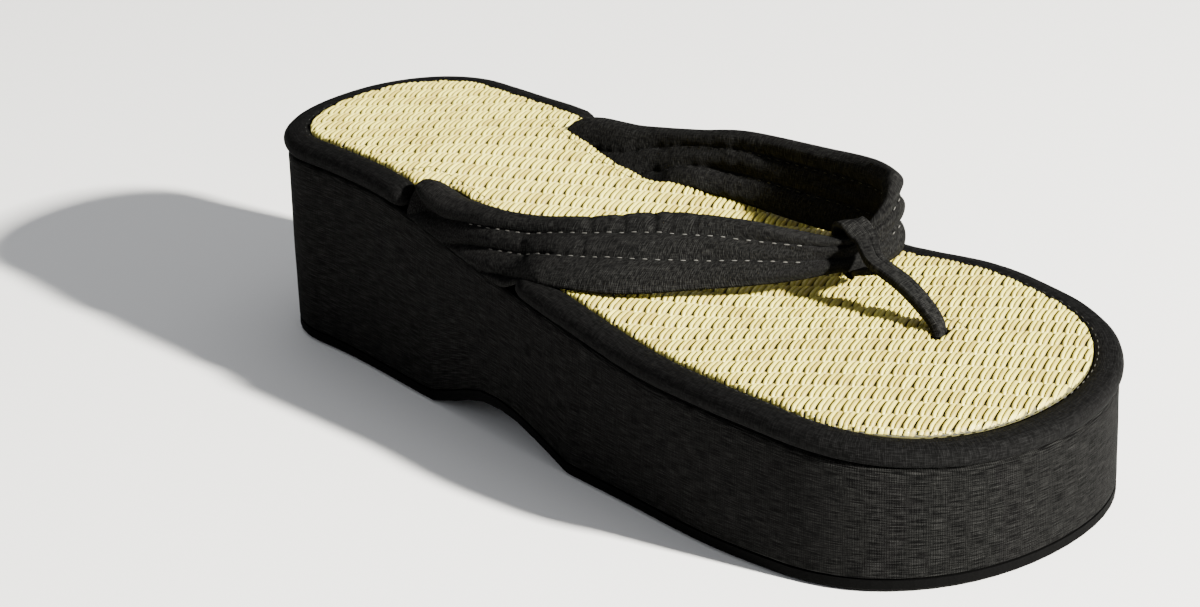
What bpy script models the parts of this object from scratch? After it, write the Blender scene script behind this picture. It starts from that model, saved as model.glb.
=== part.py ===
"""A zori sandal for the right foot: a cloth-covered wedge sole with a woven straw mat,
and one wide pleated cloth strap that a narrow toe post holds down.

Metres. +X points to the toe, +Y to the big toe's side (medial), +Z up. The origin is on
the floor, under the middle of the sole."""

import math
from collections import namedtuple

import bmesh
import bpy
from mathutils import Vector

# Sizes of the sole
LENGTH = 0.255
HEEL_WIDTH = 0.0725
WAIST_WIDTH = 0.0815
BALL_WIDTH = 0.108
HEEL_HEIGHT = 0.0566
BALL_HEIGHT = 0.0401
TOE_HEIGHT = 0.0340
HEEL_ROUND = 0.028
TOE_ROUND = 0.0415
OUTSOLE_THICKNESS = 0.003
ARCH_RISE = 0.0083
FOOTBED_THICKNESS = 0.0052
RIM_WIDTH = 0.0070
RIM_OVERHANG = 0.0010
RIM_BULGE = 0.0020
LIP_ROUND = 0.0008
RECESS_DEPTH = 0.0014
MAT_THICKNESS = 0.0020
MAT_ROUND = 0.0006
COVER_TOP_ROUND = 0.0012
COVER_FOOT_ROUND = 0.0006
OUTSOLE_ROUND = 0.0008

# Sizes of the straps
STRAP_THICKNESS = 0.0044
STRAP_RISE = 0.0220
PLEAT_RISE = 0.0011
POST_WIDTH = 0.0068
POST_THICKNESS = 0.0024
POST_CORNER = 0.0007
POST_DEPTH = 0.0060

# Fits
GAP = 0.0003

# Where the seat's profile bends, as shares of the length
SLOPE_START = 0.250
SLOPE_END = 0.650
TOE_FALL_START = 0.720
SLOPE_SOFTNESS = 0.035
ROUND_POWER = 2.1

# Form of the strap's cross-section, as shares of its height or thickness: how far its edges
# are drawn in and over what height, where the pleats fade out, how much of a pleat's swell
# lies under the face, how much wider the upper pleats are, and how full the inner face is
EDGE_PINCH = 0.85
TOP_ROUND = 0.16
FOOT_ROUND = 0.12
PLEAT_FADE = 0.15
PLEAT_SINK = 0.40
PLEAT_LEAN = 0.25
INNER_FULLNESS = 0.6

# Fineness of the meshes, and the angle in degrees past which an edge is sharp
STATIONS = 52
RING_STEPS = 3
OUTER_STEPS = 18
INNER_STEPS = 12
LOOP_STEPS = 24
SMOOTH_ANGLE = 38

# Outline of the sole: a width at a share of the length, and the lateral side's part of it
Width = namedtuple("Width", "along width lateral")
OUTLINE = (
    Width(0.00, HEEL_WIDTH * 1.00, 0.533),
    Width(0.12, HEEL_WIDTH * 1.00, 0.533),
    Width(0.30, WAIST_WIDTH * 0.95, 0.552),
    Width(0.45, WAIST_WIDTH * 1.05, 0.553),
    Width(0.62, BALL_WIDTH * 0.90, 0.519),
    Width(0.76, BALL_WIDTH * 1.00, 0.491),
    Width(0.90, BALL_WIDTH * 0.958, 0.495),
    Width(1.00, BALL_WIDTH * 0.958, 0.495),
)

# The arch's notch under the sole: share of the length, share of ARCH_RISE
Arch = namedtuple("Arch", "along rise")
ARCH = (
    Arch(0.315, 0.00),
    Arch(0.362, 0.48),
    Arch(0.408, 0.96),
    Arch(0.436, 1.00),
    Arch(0.462, 0.90),
    Arch(0.502, 0.52),
    Arch(0.532, 0.14),
    Arch(0.545, 0.00),
)

# The strap from its lateral root, through the toe loop and round to its medial root. Each
# section has a top edge, an outer and an inner lower edge. along is a share of the length,
# out a share of the sole's half width there (negative on the lateral side), and up a share
# of STRAP_RISE above the seat. A seated edge goes down to the top of the wedge instead.
SEATED = None
Section = namedtuple("Section", "top outer inner pleats")
STRAP = (
    Section((0.288, -0.84, 0.02), (0.286, -0.92, SEATED), (0.286, -0.78, SEATED), 0.6),
    Section((0.292, -0.83, 0.15), (0.289, -0.97, SEATED), (0.293, -0.70, SEATED), 0.9),
    Section((0.306, -0.82, 0.22), (0.306, -0.98, SEATED), (0.314, -0.66, SEATED), 1.2),
    Section((0.348, -0.82, 0.24), (0.348, -0.98, SEATED), (0.353, -0.65, SEATED), 1.8),
    Section((0.400, -0.79, 0.33), (0.402, -0.98, SEATED), (0.402, -0.66, SEATED), 2.6),
    Section((0.452, -0.71, 0.44), (0.466, -0.98, SEATED), (0.462, -0.74, SEATED), 3.0),
    Section((0.492, -0.58, 0.57), (0.486, -0.96, 0.12), (0.486, -0.82, 0.11), 3.0),
    Section((0.570, -0.30, 0.81), (0.557, -0.78, 0.16), (0.562, -0.68, 0.13), 3.0),
    Section((0.620, -0.12, 0.87), (0.618, -0.42, 0.26), (0.624, -0.31, 0.22), 3.0),
    Section((0.660, 0.04, 0.82), (0.668, -0.11, 0.31), (0.668, 0.00, 0.27), 3.0),
    Section((0.685, 0.21, 0.70), (0.699, 0.11, 0.36), (0.691, 0.24, 0.31), 3.0),
    Section((0.695, 0.29, 0.70), (0.708, 0.20, 0.36), (0.700, 0.32, 0.31), 3.0),
    Section((0.698, 0.46, 0.95), (0.706, 0.43, 0.26), (0.693, 0.48, 0.23), 3.0),
    Section((0.690, 0.58, 1.22), (0.697, 0.62, 0.22), (0.684, 0.58, 0.19), 3.0),
    Section((0.652, 0.71, 1.19), (0.660, 0.76, 0.20), (0.654, 0.67, 0.17), 3.0),
    Section((0.590, 0.82, 1.02), (0.580, 0.76, 0.18), (0.580, 0.65, 0.14), 3.0),
    Section((0.475, 0.91, 0.73), (0.495, 0.78, 0.13), (0.495, 0.65, 0.10), 3.0),
    Section((0.405, 0.89, 0.47), (0.430, 0.96, 0.10), (0.430, 0.56, 0.08), 3.0),
    Section((0.370, 0.88, 0.35), (0.404, 0.98, SEATED), (0.404, 0.46, SEATED), 2.6),
    Section((0.330, 0.85, 0.22), (0.345, 0.98, SEATED), (0.355, 0.46, SEATED), 1.8),
    Section((0.292, 0.80, 0.15), (0.300, 0.98, SEATED), (0.300, 0.53, SEATED), 1.2),
    Section((0.270, 0.72, 0.08), (0.272, 0.94, SEATED), (0.272, 0.54, SEATED), 0.9),
    Section((0.264, 0.66, 0.02), (0.264, 0.80, SEATED), (0.264, 0.58, SEATED), 0.6),
)

# The rows of the table that each root's notch in the footbed spans, back row first, and the
# rows on either side of the toe post's loop
ROOT_ROWS = ((0, 6), (22, 17))
LOOP_ROWS = (10, 11)

# The toe post's middle line from the loop to its slot: share of the length, share of the
# medial half width, share of STRAP_RISE above the seat, and the way of its width in degrees
Route = namedtuple("Route", "along out up turn")
POST = (
    Route(0.735, 0.175, 0.50, 75),
    Route(0.772, 0.190, 0.46, 95),
    Route(0.804, 0.197, 0.32, 100),
    Route(0.820, 0.199, 0.16, 102),
)

# The angle round the loop where the post leaves it, in degrees from its top, how far the loop
# leans along the strap, how far from its middle the strap is looked at, how much wider than
# the strip it looks, and the room in front of each root
POST_LEAVES = 118
LOOP_LEAN = 0.0022
LOOP_REACH = 0.012
LOOP_MARGIN = 0.0012
ROOT_FRONT = 0.0012

COLOURS = {
    "black_rubber": ((0.012, 0.012, 0.012, 1.0), 0.75),
    "black_cloth": ((0.018, 0.018, 0.019, 1.0), 0.90),
    "woven_straw": ((0.70, 0.62, 0.33, 1.0), 0.55),
}


def clear_scene():
    for item in list(bpy.data.objects):
        bpy.data.objects.remove(item, do_unlink=True)


def material(name):
    colour, roughness = COLOURS[name]
    made = bpy.data.materials.get(name) or bpy.data.materials.new(name)
    made.use_nodes = True
    shader = made.node_tree.nodes["Principled BSDF"]
    shader.inputs["Base Color"].default_value = colour
    shader.inputs["Roughness"].default_value = roughness
    shader.inputs["Metallic"].default_value = 0.0
    return made


def add_object(name, mesh, finish):
    """Adds a closed mesh to the scene with its finish, its faces turned outwards."""
    mesh.normal_update()
    bmesh.ops.recalc_face_normals(mesh, faces=mesh.faces)
    data = bpy.data.meshes.new(name)
    mesh.to_mesh(data)
    mesh.free()
    data.materials.append(material(finish))
    data.shade_smooth()
    data.set_sharp_from_angle(angle=math.radians(SMOOTH_ANGLE))
    made = bpy.data.objects.new(name, data)
    bpy.context.scene.collection.objects.link(made)
    return made


def cut(body, cutter, name):
    """Takes the cutter's shape out of the body."""
    cutter.hide_render = True
    cutter.display_type = "WIRE"
    modifier = body.modifiers.new(name, "BOOLEAN")
    modifier.operation = "DIFFERENCE"
    modifier.solver = "EXACT"
    modifier.object = cutter


def join(body, other, name):
    """Joins the other shape to the body."""
    other.hide_render = True
    other.display_type = "WIRE"
    modifier = body.modifiers.new(name, "BOOLEAN")
    modifier.operation = "UNION"
    modifier.solver = "EXACT"
    modifier.object = other


def smooth_value(keys, values, at):
    """A smooth curve through the table's values that never overshoots them."""
    if at <= keys[0]:
        return values[0]
    if at >= keys[-1]:
        return values[-1]
    count = len(keys)
    steps = [keys[i + 1] - keys[i] for i in range(count - 1)]
    rises = [(values[i + 1] - values[i]) / steps[i] for i in range(count - 1)]
    slopes = [rises[0]]
    for i in range(1, count - 1):
        before, after = rises[i - 1], rises[i]
        slopes.append(0.0 if before * after <= 0 else 2 * before * after / (before + after))
    slopes.append(rises[-1])
    i = max(k for k in range(count - 1) if keys[k] <= at)
    t = (at - keys[i]) / steps[i]
    rise = values[i + 1] - values[i]
    start, end = slopes[i] * steps[i], slopes[i + 1] * steps[i]
    return values[i] + t * start + t * t * (3 * rise - 2 * start - end) + t**3 * (start + end - 2 * rise)


def ramp(distance, softness):
    """Zero before a bend and the distance after it, with a soft bend between."""
    if distance <= -softness:
        return 0.0
    if distance >= softness:
        return distance
    return (distance + softness) ** 2 / (4 * softness)


def half_widths(x):
    """Lateral and medial half width of the sole at x, measured from the heel."""
    share = x / LENGTH
    keys = [row.along for row in OUTLINE]
    lateral = smooth_value(keys, [row.width * row.lateral for row in OUTLINE], share)
    medial = smooth_value(keys, [row.width * (1 - row.lateral) for row in OUTLINE], share)
    near_heel = min(max(1 - x / HEEL_ROUND, 0.0), 1.0)
    near_toe = min(max(1 - (LENGTH - x) / TOE_ROUND, 0.0), 1.0)
    rounded = 1.0
    for reach in (near_heel, near_toe):
        rounded *= max(1 - reach**ROUND_POWER, 0.0) ** (1 / ROUND_POWER)
    return lateral * rounded, medial * rounded


def body_half_width(x, side):
    """The half width that the straps are placed by, without the rounding of the ends."""
    keys = [row.along for row in OUTLINE]
    shares = [row.lateral if side < 0 else 1 - row.lateral for row in OUTLINE]
    values = [row.width * share for row, share in zip(OUTLINE, shares)]
    return smooth_value(keys, values, x / LENGTH)


def seat(x):
    """Height of the footbed's rim at x: level at the heel, down a slope, then falling to the toe."""
    start, end = SLOPE_START * LENGTH, SLOPE_END * LENGTH
    softness = SLOPE_SOFTNESS * LENGTH
    slope = (HEEL_HEIGHT - BALL_HEIGHT) / (end - start)
    sloped = ramp(x - start, softness) - ramp(x - end, softness)
    fall_start = TOE_FALL_START * LENGTH
    fall = max(0.0, (x - fall_start) / (LENGTH - fall_start))
    return HEEL_HEIGHT - slope * sloped - (BALL_HEIGHT - TOE_HEIGHT) * fall * fall


def underside(x):
    """Height of the sole's underside at x: on the floor, but for the arch's notch."""
    keys = [row.along for row in ARCH]
    return ARCH_RISE * smooth_value(keys, [row.rise for row in ARCH], x / LENGTH)


def shelf(x):
    """Height of the wedge's top, which the footbed is glued on."""
    return seat(x) - FOOTBED_THICKNESS


def mat_top(x):
    """Height of the straw mat's upper face, a little above the rim."""
    return seat(x) + MAT_THICKNESS - RECESS_DEPTH + GAP


def stations():
    """Places along the length, closer at the round ends, with one on each corner of the profile."""
    places = [LENGTH * (0.5 - 0.5 * math.cos(math.pi * i / STATIONS)) for i in range(STATIONS + 1)]
    corners = [ARCH[0].along, ARCH[2].along, ARCH[-1].along, SLOPE_START]
    for corner in corners:
        nearest = min(range(1, STATIONS), key=lambda i: abs(places[i] - corner * LENGTH))
        places[nearest] = corner * LENGTH
    return places


def outline(inset):
    """The sole's outline, moved in by inset: heel tip, lateral side, toe tip, medial side."""
    places = stations()
    lateral = [Vector((x, -half_widths(x)[0])) for x in places]
    medial = [Vector((x, half_widths(x)[1])) for x in places]
    loop = lateral + medial[-2:0:-1]
    moved = []
    for i, point in enumerate(loop):
        along = loop[(i + 1) % len(loop)] - loop[i - 1]
        inward = Vector((-along.y, along.x)).normalized()
        moved.append(point + inward * inset)
    return moved


SOLE_MIDDLE_Y = (max(p.y for p in outline(0.0)) + min(p.y for p in outline(0.0))) / 2


def place(x, y, z):
    """A point measured from the back of the heel, in the part's own frame."""
    return Vector((x - LENGTH / 2, y - SOLE_MIDDLE_Y, z))


def stack(levels):
    """A closed solid from rings of the outline. Each level has an inset and a height function."""
    mesh = bmesh.new()
    rings = []
    for inset, height in levels:
        rings.append([mesh.verts.new(place(p.x, p.y, height(p.x))) for p in outline(inset)])
    count = len(rings[0])
    for low, high in zip(rings, rings[1:]):
        for i in range(count):
            after = (i + 1) % count
            mesh.faces.new((low[i], low[after], high[after], high[i]))
    for ring in (rings[0], rings[-1]):
        for i in range(STATIONS):
            corners = [ring[i], ring[i + 1], ring[(count - i - 1) % count], ring[(count - i) % count]]
            mesh.faces.new(list(dict.fromkeys(corners)))
    return mesh


def rounded_edge(side, face, radius, inward=1, upward=1, steps=1):
    """Levels round an edge of the sole, from its upright side to its level face."""
    levels = []
    for i in range(steps + 1):
        angle = math.pi / 2 * i / steps
        drop = upward * radius * (1 - math.sin(angle))
        inset = side + inward * radius * (1 - math.cos(angle))
        levels.append((inset, lambda x, drop=drop: face(x) - drop))
    return levels


def outsole():
    """A thin rubber sheet that follows the underside."""
    levels = rounded_edge(RIM_OVERHANG, underside, OUTSOLE_ROUND, upward=-1)[::-1]
    levels.append((RIM_OVERHANG, lambda x: underside(x) + OUTSOLE_THICKNESS))
    return add_object("outsole", stack(levels), "black_rubber")


def wedge():
    """The light wedge under its cloth cover, from the outsole to the footbed."""
    def foot(x):
        return underside(x) + OUTSOLE_THICKNESS + GAP

    def top(x):
        return shelf(x) - GAP

    levels = rounded_edge(RIM_OVERHANG, foot, COVER_FOOT_ROUND, upward=-1)[::-1]
    levels.append((RIM_OVERHANG, lambda x: (foot(x) + top(x)) / 2))
    levels += rounded_edge(RIM_OVERHANG, top, COVER_TOP_ROUND, steps=2)
    return add_object("wedge_sole", stack(levels), "black_cloth")


def footbed():
    """The padded footbed: a rolled cloth rim around a shallow recess for the mat."""
    roll = FOOTBED_THICKNESS / 2
    levels = [(COVER_TOP_ROUND, shelf)]
    for turn in range(-60, 91, 30):
        angle = math.radians(turn)
        levels.append((
            RIM_BULGE * (1 - math.cos(angle)),
            lambda x, rise=math.sin(angle): shelf(x) + roll * (1 + rise),
        ))
    levels += rounded_edge(RIM_WIDTH, seat, LIP_ROUND, inward=-1)[::-1]
    levels.append((RIM_WIDTH, lambda x: seat(x) - RECESS_DEPTH))
    return add_object("footbed", stack(levels), "black_cloth")


def mat():
    """The woven straw mat that lies in the footbed's recess."""
    inset = RIM_WIDTH + GAP
    levels = [(inset, lambda x: mat_top(x) - MAT_THICKNESS)]
    levels += rounded_edge(inset, mat_top, MAT_ROUND)
    return add_object("straw_mat", stack(levels), "woven_straw")


def edge_point(edge):
    """A strap edge's place from its shares, measured from the back of the heel."""
    along, out, up = edge
    x = along * LENGTH
    z = shelf(x) if up is SEATED else seat(x) + up * STRAP_RISE
    return Vector((x, out * body_half_width(x, out), z))


def strap_sections():
    """Top, outer and inner edge, pleats and freedom of each section, with steps between the rows."""
    rows = []
    for row in STRAP:
        corners = [edge_point(edge) for edge in (row.top, row.outer, row.inner)]
        free = 0.0 if row.outer[2] is SEATED else 1.0
        rows.append([value for corner in corners for value in corner] + [row.pleats, free])
    keys = list(range(len(rows)))
    columns = list(zip(*rows))
    sections = []
    for i in range((len(rows) - 1) * RING_STEPS + 1):
        values = [smooth_value(keys, column, i / RING_STEPS) for column in columns]
        sections.append([Vector(values[k:k + 3]) for k in (0, 3, 6)] + values[9:])
    return sections


def rounding(distance):
    """How far a face is drawn in, as a share, at this share of the way out of a rounded edge."""
    return EDGE_PINCH * (1 - math.sqrt(1 - (1 - min(distance, 1.0)) ** 2))


def strap_ring(section):
    """Points around one section: down the pleated outer face and up the inner one."""
    top, outer, inner, pleats, free = section
    down = ((outer + inner) / 2 - top).normalized()
    across = outer - inner
    outward = (across - down * across.dot(down)).normalized()
    half_foot = across.length / 2
    half_top = min(STRAP_THICKNESS / 2, half_foot)
    ring = []
    faces = ((1, outer, OUTER_STEPS, 1.0), (-1, inner, INNER_STEPS, INNER_FULLNESS))
    for side, foot, steps, fullness in faces:
        face = []
        for i in range(steps + 1):
            share = i / steps
            point = (top + outward * side * half_top).lerp(foot, share)
            turn = math.pi * pleats * share * (1 + PLEAT_LEAN * (1 - share))
            fade = min(share, 1 - share, PLEAT_FADE) / PLEAT_FADE
            swell = PLEAT_RISE * fullness * (abs(math.sin(turn)) - PLEAT_SINK) * fade
            drawn = half_top * rounding(share / TOP_ROUND)
            drawn += free * half_top * rounding((1 - share) / FOOT_ROUND)
            face.append(point + outward * side * (swell - drawn))
        ring += face if side > 0 else face[::-1]
    return ring


def loft(rings, closed=False):
    """A closed solid through rings of the same number of points."""
    mesh = bmesh.new()
    made = [[mesh.verts.new(place(*point)) for point in ring] for ring in rings]
    count = len(made[0])
    pairs = list(zip(made, made[1:])) + ([(made[-1], made[0])] if closed else [])
    for first, second in pairs:
        for i in range(count):
            after = (i + 1) % count
            mesh.faces.new((first[i], first[after], second[after], second[i]))
    if not closed:
        for ring in (made[0], made[-1]):
            mesh.faces.new(ring)
    bmesh.ops.triangulate(mesh, faces=[face for face in mesh.faces if len(face.verts) > 4])
    return mesh


def strap():
    """The wide pleated strap, one piece from root to root."""
    rings = [strap_ring(section) for section in strap_sections()]
    return add_object("strap", loft(rings), "black_cloth")


def prism(name, corners, low, high):
    """An upright prism over a plan outline, used as a cutter."""
    rings = [[Vector((corner.x, corner.y, height)) for corner in corners] for height in (low, high)]
    return add_object(name, loft(rings), "black_cloth")


def root_cutter(name, first, last):
    """Room for a strap root: from its inner face out past the rim, back row first."""
    sections = strap_sections()
    step = 1 if last > first else -1
    line = []
    for i in range(first * RING_STEPS, last * RING_STEPS + step, step):
        ring = strap_ring(sections[i])
        low = [point for point in ring if point.z < mat_top(point.x) + STRAP_THICKNESS / 2]
        if low:
            line.append(min(low, key=lambda point: abs(point.y)).to_2d())
    side = 1 if line[0].y > 0 else -1
    moved = []
    for i, point in enumerate(line):
        along = (line[min(i + 1, len(line) - 1)] - line[max(i - 1, 0)]).normalized()
        moved.append(point + Vector((along.y, -along.x)) * side * GAP)
    back, front = line[0].x - GAP, line[-1].x + ROOT_FRONT
    beyond = side * BALL_WIDTH
    corners = [Vector((back, beyond)), Vector((back, moved[0].y))] + moved
    corners += [Vector((front, moved[-1].y)), Vector((front, beyond))]
    return prism(name, corners, 0.0, HEEL_HEIGHT + STRAP_RISE)


def strip_ring(middle, width_way, thick_way, grow=0.0):
    """One section of the post's cloth strip: a rectangle with its corners taken off."""
    half_width, half_thick = POST_WIDTH / 2 + grow, POST_THICKNESS / 2 + grow
    ring = []
    for across, out in ((1, 1), (-1, 1), (-1, -1), (1, -1)):
        ends = [(half_width - POST_CORNER, half_thick), (half_width, half_thick - POST_CORNER)]
        for wide, thick in ends if across * out < 0 else ends[::-1]:
            ring.append(middle + width_way * across * wide + thick_way * out * thick)
    return ring


def loop_frame():
    """The middle of the gathered strap inside the loop, the strap's direction and its points."""
    rings = [strap_ring(section) for section in strap_sections()]
    middles = [sum(ring, Vector()) / len(ring) for ring in rings]
    first, last = (row * RING_STEPS for row in LOOP_ROWS)
    middle = (middles[first] + middles[last]) / 2
    near = [point for ring in rings for point in ring if (point - middle).length < LOOP_REACH]
    return middle, (middles[last] - middles[first]).normalized(), near


def loop_point(angle):
    """Where the strip's middle runs round the gathered strap, and its outward way there."""
    middle, along, points = loop_frame()
    over = (Vector((0, 0, 1)) - along * along.z).normalized()
    aside = along.cross(over)
    way = over * math.cos(angle) + aside * math.sin(angle)
    centre = middle + along * -LOOP_LEAN * math.cos(angle)
    inside = [p for p in points if abs((p - centre).dot(along)) < POST_WIDTH / 2 + LOOP_MARGIN]
    reach = max(inside, key=lambda p: (p - centre).dot(way)) - centre
    flat = reach - along * reach.dot(along)
    return centre + flat + way * (GAP + POST_THICKNESS / 2), way, along


def loop_rings():
    turns = (2 * math.pi * i / LOOP_STEPS for i in range(LOOP_STEPS))
    return [strip_ring(point, along, way) for point, way, along in map(loop_point, turns)]


def post_route():
    """The strip's middle points from the loop down into its slot, each with its width's way."""
    start, way, along = loop_point(math.radians(POST_LEAVES))
    rows = [(start, math.degrees(math.atan2(along.y, along.x)))]
    for row in POST:
        rows.append((edge_point((row.along, row.out, row.up)), row.turn))
    foot = rows[-1][0]
    rows.append((Vector((foot.x, foot.y, shelf(foot.x) - POST_DEPTH)), POST[-1].turn))
    keys = list(range(len(rows)))
    columns = list(zip(*[(*point, turn) for point, turn in rows]))
    route = []
    for i in range((len(rows) - 1) * RING_STEPS + 1):
        values = [smooth_value(keys, column, i / RING_STEPS) for column in columns]
        route.append((Vector(values[:3]), math.radians(values[3])))
    return route


def post_rings():
    route = post_route()
    rings = []
    for i, (point, turn) in enumerate(route):
        along = (route[min(i + 1, len(route) - 1)][0] - route[max(i - 1, 0)][0]).normalized()
        width_way = Vector((math.cos(turn), math.sin(turn), 0))
        width_way = (width_way - along * width_way.dot(along)).normalized()
        rings.append(strip_ring(point, width_way, along.cross(width_way)))
    return rings


def toe_post():
    """The narrow strip: a loop round the gathered strap, and the post down into the sole."""
    post = add_object("toe_post", loft(post_rings()), "black_cloth")
    loop = add_object("loop_of_post", loft(loop_rings(), closed=True), "black_cloth")
    join(post, loop, "loop")
    return post


def slot_cutter():
    """Room for the post through the mat and the footbed and down into the wedge."""
    foot, turn = post_route()[-1]
    width_way = Vector((math.cos(turn), math.sin(turn), 0))
    thick_way = Vector((0, 0, -1)).cross(width_way)
    ring = strip_ring(foot, width_way, thick_way, grow=GAP)
    return prism("slot_cutter", ring, foot.z - GAP, HEEL_HEIGHT)


def main():
    clear_scene()
    outsole()
    sole = wedge()
    bed = footbed()
    straw = mat()
    strap()
    toe_post()
    roots = [root_cutter(f"root_cutter_{i}", *rows) for i, rows in enumerate(ROOT_ROWS)]
    slot = slot_cutter()
    for body in (bed, straw):
        for root in roots:
            cut(body, root, root.name)
    for body in (sole, bed, straw):
        cut(body, slot, "slot")


main()
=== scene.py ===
import math
from collections import namedtuple

import bmesh
import bpy
import numpy as np
from mathutils import Matrix, Vector, noise
from mathutils.bvhtree import BVHTree


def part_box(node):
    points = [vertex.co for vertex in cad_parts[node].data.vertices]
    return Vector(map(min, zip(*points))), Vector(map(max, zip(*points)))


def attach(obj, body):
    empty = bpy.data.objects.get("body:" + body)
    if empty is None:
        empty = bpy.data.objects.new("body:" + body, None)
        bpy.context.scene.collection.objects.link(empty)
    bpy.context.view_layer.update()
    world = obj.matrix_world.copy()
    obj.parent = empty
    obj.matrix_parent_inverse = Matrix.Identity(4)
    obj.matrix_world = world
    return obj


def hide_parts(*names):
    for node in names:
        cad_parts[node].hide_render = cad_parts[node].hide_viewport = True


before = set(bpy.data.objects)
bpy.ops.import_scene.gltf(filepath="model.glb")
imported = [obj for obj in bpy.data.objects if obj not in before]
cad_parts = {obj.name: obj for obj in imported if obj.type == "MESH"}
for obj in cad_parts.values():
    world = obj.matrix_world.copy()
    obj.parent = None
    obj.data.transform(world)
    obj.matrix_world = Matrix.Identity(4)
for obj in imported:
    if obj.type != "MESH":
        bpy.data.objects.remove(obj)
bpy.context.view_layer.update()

# A right zori sandal: a cloth-covered wedge, a woven straw mat in a rolled rim, and a wide
# pleated strap under a narrow toe post. Metres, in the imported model's frame: +X to the toe,
# +Y to the big toe's side, +Z up.

MM = 0.001
SOLE_LOW, SOLE_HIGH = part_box("footbed")
LENGTH = SOLE_HIGH.x - SOLE_LOW.x
HEEL_X = SOLE_LOW.x
LATERAL_SHARE = 0.491
AXIS_Y = SOLE_LOW.y + LATERAL_SHARE * (SOLE_HIGH.y - SOLE_LOW.y)

# Where rays that look for a surface start: above everything and below everything
ABOVE = 0.2
BELOW = -0.1

# Sizes of the sole's pieces
FOOTBED_THICKNESS = 5.2 * MM
MAT_STANDS = 0.9 * MM
RIM_WIDTH = 7.0 * MM
RIM_OVERHANG = 1.0 * MM
RIM_BULGE = 2.6 * MM
RIM_CROWN = 0.35 * MM
RIM_END_ROUND = 5.0 * MM
RIM_END_LEAST = 0.02
RIM_LIP_ROUND = 0.6 * MM
RIM_LIP_REACH = 0.25 * MM
COVER_ROUND = 1.2 * MM
COVER_SHARP = math.radians(50)
OUTSOLE_THICKNESS = 3.0 * MM
GAP = 0.3 * MM

# Waves in the glued and rolled cloth: how long and how high they are, and their noise's seed
Wave = namedtuple("Wave", "length height seed")
COVER_WAVES = (Wave(16 * MM, 0.22 * MM, 3), Wave(5 * MM, 0.05 * MM, 4))
RIM_WAVE = Wave(9 * MM, 0.12 * MM, 5)

# The weave: straws float over one rib in pairs and dive under the next. A float keeps its
# width as far as PINCH_START. Each float's outer edges, beside the gap, are painted in shade,
# and the line between its two straws gets PAIR_LINE as much of that painted shade
RIBS = 44
STRAWS = 130
RIB_PITCH = 6.4 * MM
STRAW_PITCH = 2.9 * MM
FLOAT_LENGTH = 7.7 * MM
STRAND_WIDTH = 1.18 * MM
STRAND_HEIGHT = 0.85 * MM
STRAND_SPREAD = 0.98
FLOAT_DIVE = 1.45 * MM
DIVE_POWER = 4.5
FLOAT_PINCH = 0.34
PINCH_START = 0.45
PINCH_SPREAD = 0.30
PAIR_LINE = 0.40
RIB_TURN = math.radians(45)
STRAW_LEAN = math.radians(22)

# No two floats are alike: they sway and roll a little, in radians, and vary in size and tint.
# The second straw of each pair is pushed towards golden, as painted shade on that side of the float
FLOAT_SWAY = 0.035
FLOAT_ROLL = 0.05
FLOAT_SIZES = ((0.96, 0.95, 0.85), (1.03, 1.06, 1.15))
SHADED_STRAND_TINT = 0.45
WEAVE_SEED = 7
ROLL_SEED = 11
TINT_SEED = 5

# How the weave lies: its height over the sheet below it, and how it sinks and folds at its edge
WEAVE_REACH = 5 * MM
WEAVE_LIFT = 0.25 * MM
GROUND_DROP = 0.95 * MM
EDGE_REACH = 1.6 * MM
EDGE_SINK = 0.5 * MM
EDGE_FLATTEN = 0.55

# The strap's form: its rounded edges, as shares of the way down, and its pleats. A pleat
# fades out at the top and foot, and stands less on the inner face
STRAP_THICKNESS = 4.4 * MM
STRAP_RISE = 22.0 * MM
EDGE_PINCH = 0.85
TOP_ROUND = 0.16
FOOT_ROUND = 0.12
PLEAT_RISE = 2.1 * MM
PLEAT_LEAN = 0.25
PLEAT_SKEW = 0.82
PLEAT_FLATNESS = 0.55
PLEAT_SINK = 0.62
PLEAT_FADE_TOP = 0.10
PLEAT_FADE_FOOT = 0.08
INNER_FULLNESS = 0.75
RING_SPACING = 0.7 * MM
OUTER_STEPS = 72
INNER_STEPS = 40

# The strap's cloth: fine puckers drawn up by the seams, and long soft waves. The stretch gives
# their noise its shape along the strap, down it and from face to face
FACE_WIDTH = 24 * MM
FACES_APART = 50 * MM
PUCKER = Wave(2.6 * MM, 0.12 * MM, 1)
PUCKER_AT_SEAM = 0.26 * MM
PUCKER_STRETCH = (1, 0.22, 1)
SEAM_PULL = 0.22
SOFT_WAVE = Wave(8 * MM, 0.50 * MM, 2)
SOFT_STRETCH = (0.5, 1, 1)
CLOTH_FADE = 0.06

# The toe post's strip of folded cloth, and its loop over the gathered strap. Its edge and its
# flat are shares of half its thickness, and its wave's height is a share of its sizes
POST_WIDTH = 6.8 * MM
POST_THICKNESS = 2.4 * MM
POST_DEPTH = 6.0 * MM
STRIP_EDGE = 0.55
STRIP_FLAT = 0.8
STRIP_CROWN = 0.25 * MM
STRIP_FOLD = 0.8 * MM
FOLD_WIDTH = 0.35 * MM
FOLD_DEPTH = 0.30 * MM
STRIP_WAVE = Wave(6 * MM, 0.03, 8)
LOOP_REACH = 12 * MM
LOOP_LIFT = 1.2 * MM
LOOP_STAND = 0.4
LOOP_POINTS = 80
POST_POINTS = 70
STRIP_SMOOTHING = 14

# Threads: the stitches' sizes, how high a row lies on its cloth, and where the rows run
STITCH_PITCH = 3.1 * MM
STITCH_LENGTH = 1.35 * MM
STITCH_THICKNESS = 0.28 * MM
STITCH_SIZES = ((0.85, 0.9, 0.9), (1.1, 1.1, 1.1))
STITCH_LIFT = 0.10 * MM
RIM_SEAM_INSET = 0.9 * MM
RIM_SEAM_ENDS = 8
SEAM_POINTS = 160
SEAM_BELOW_VALLEY = 0.014

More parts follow.
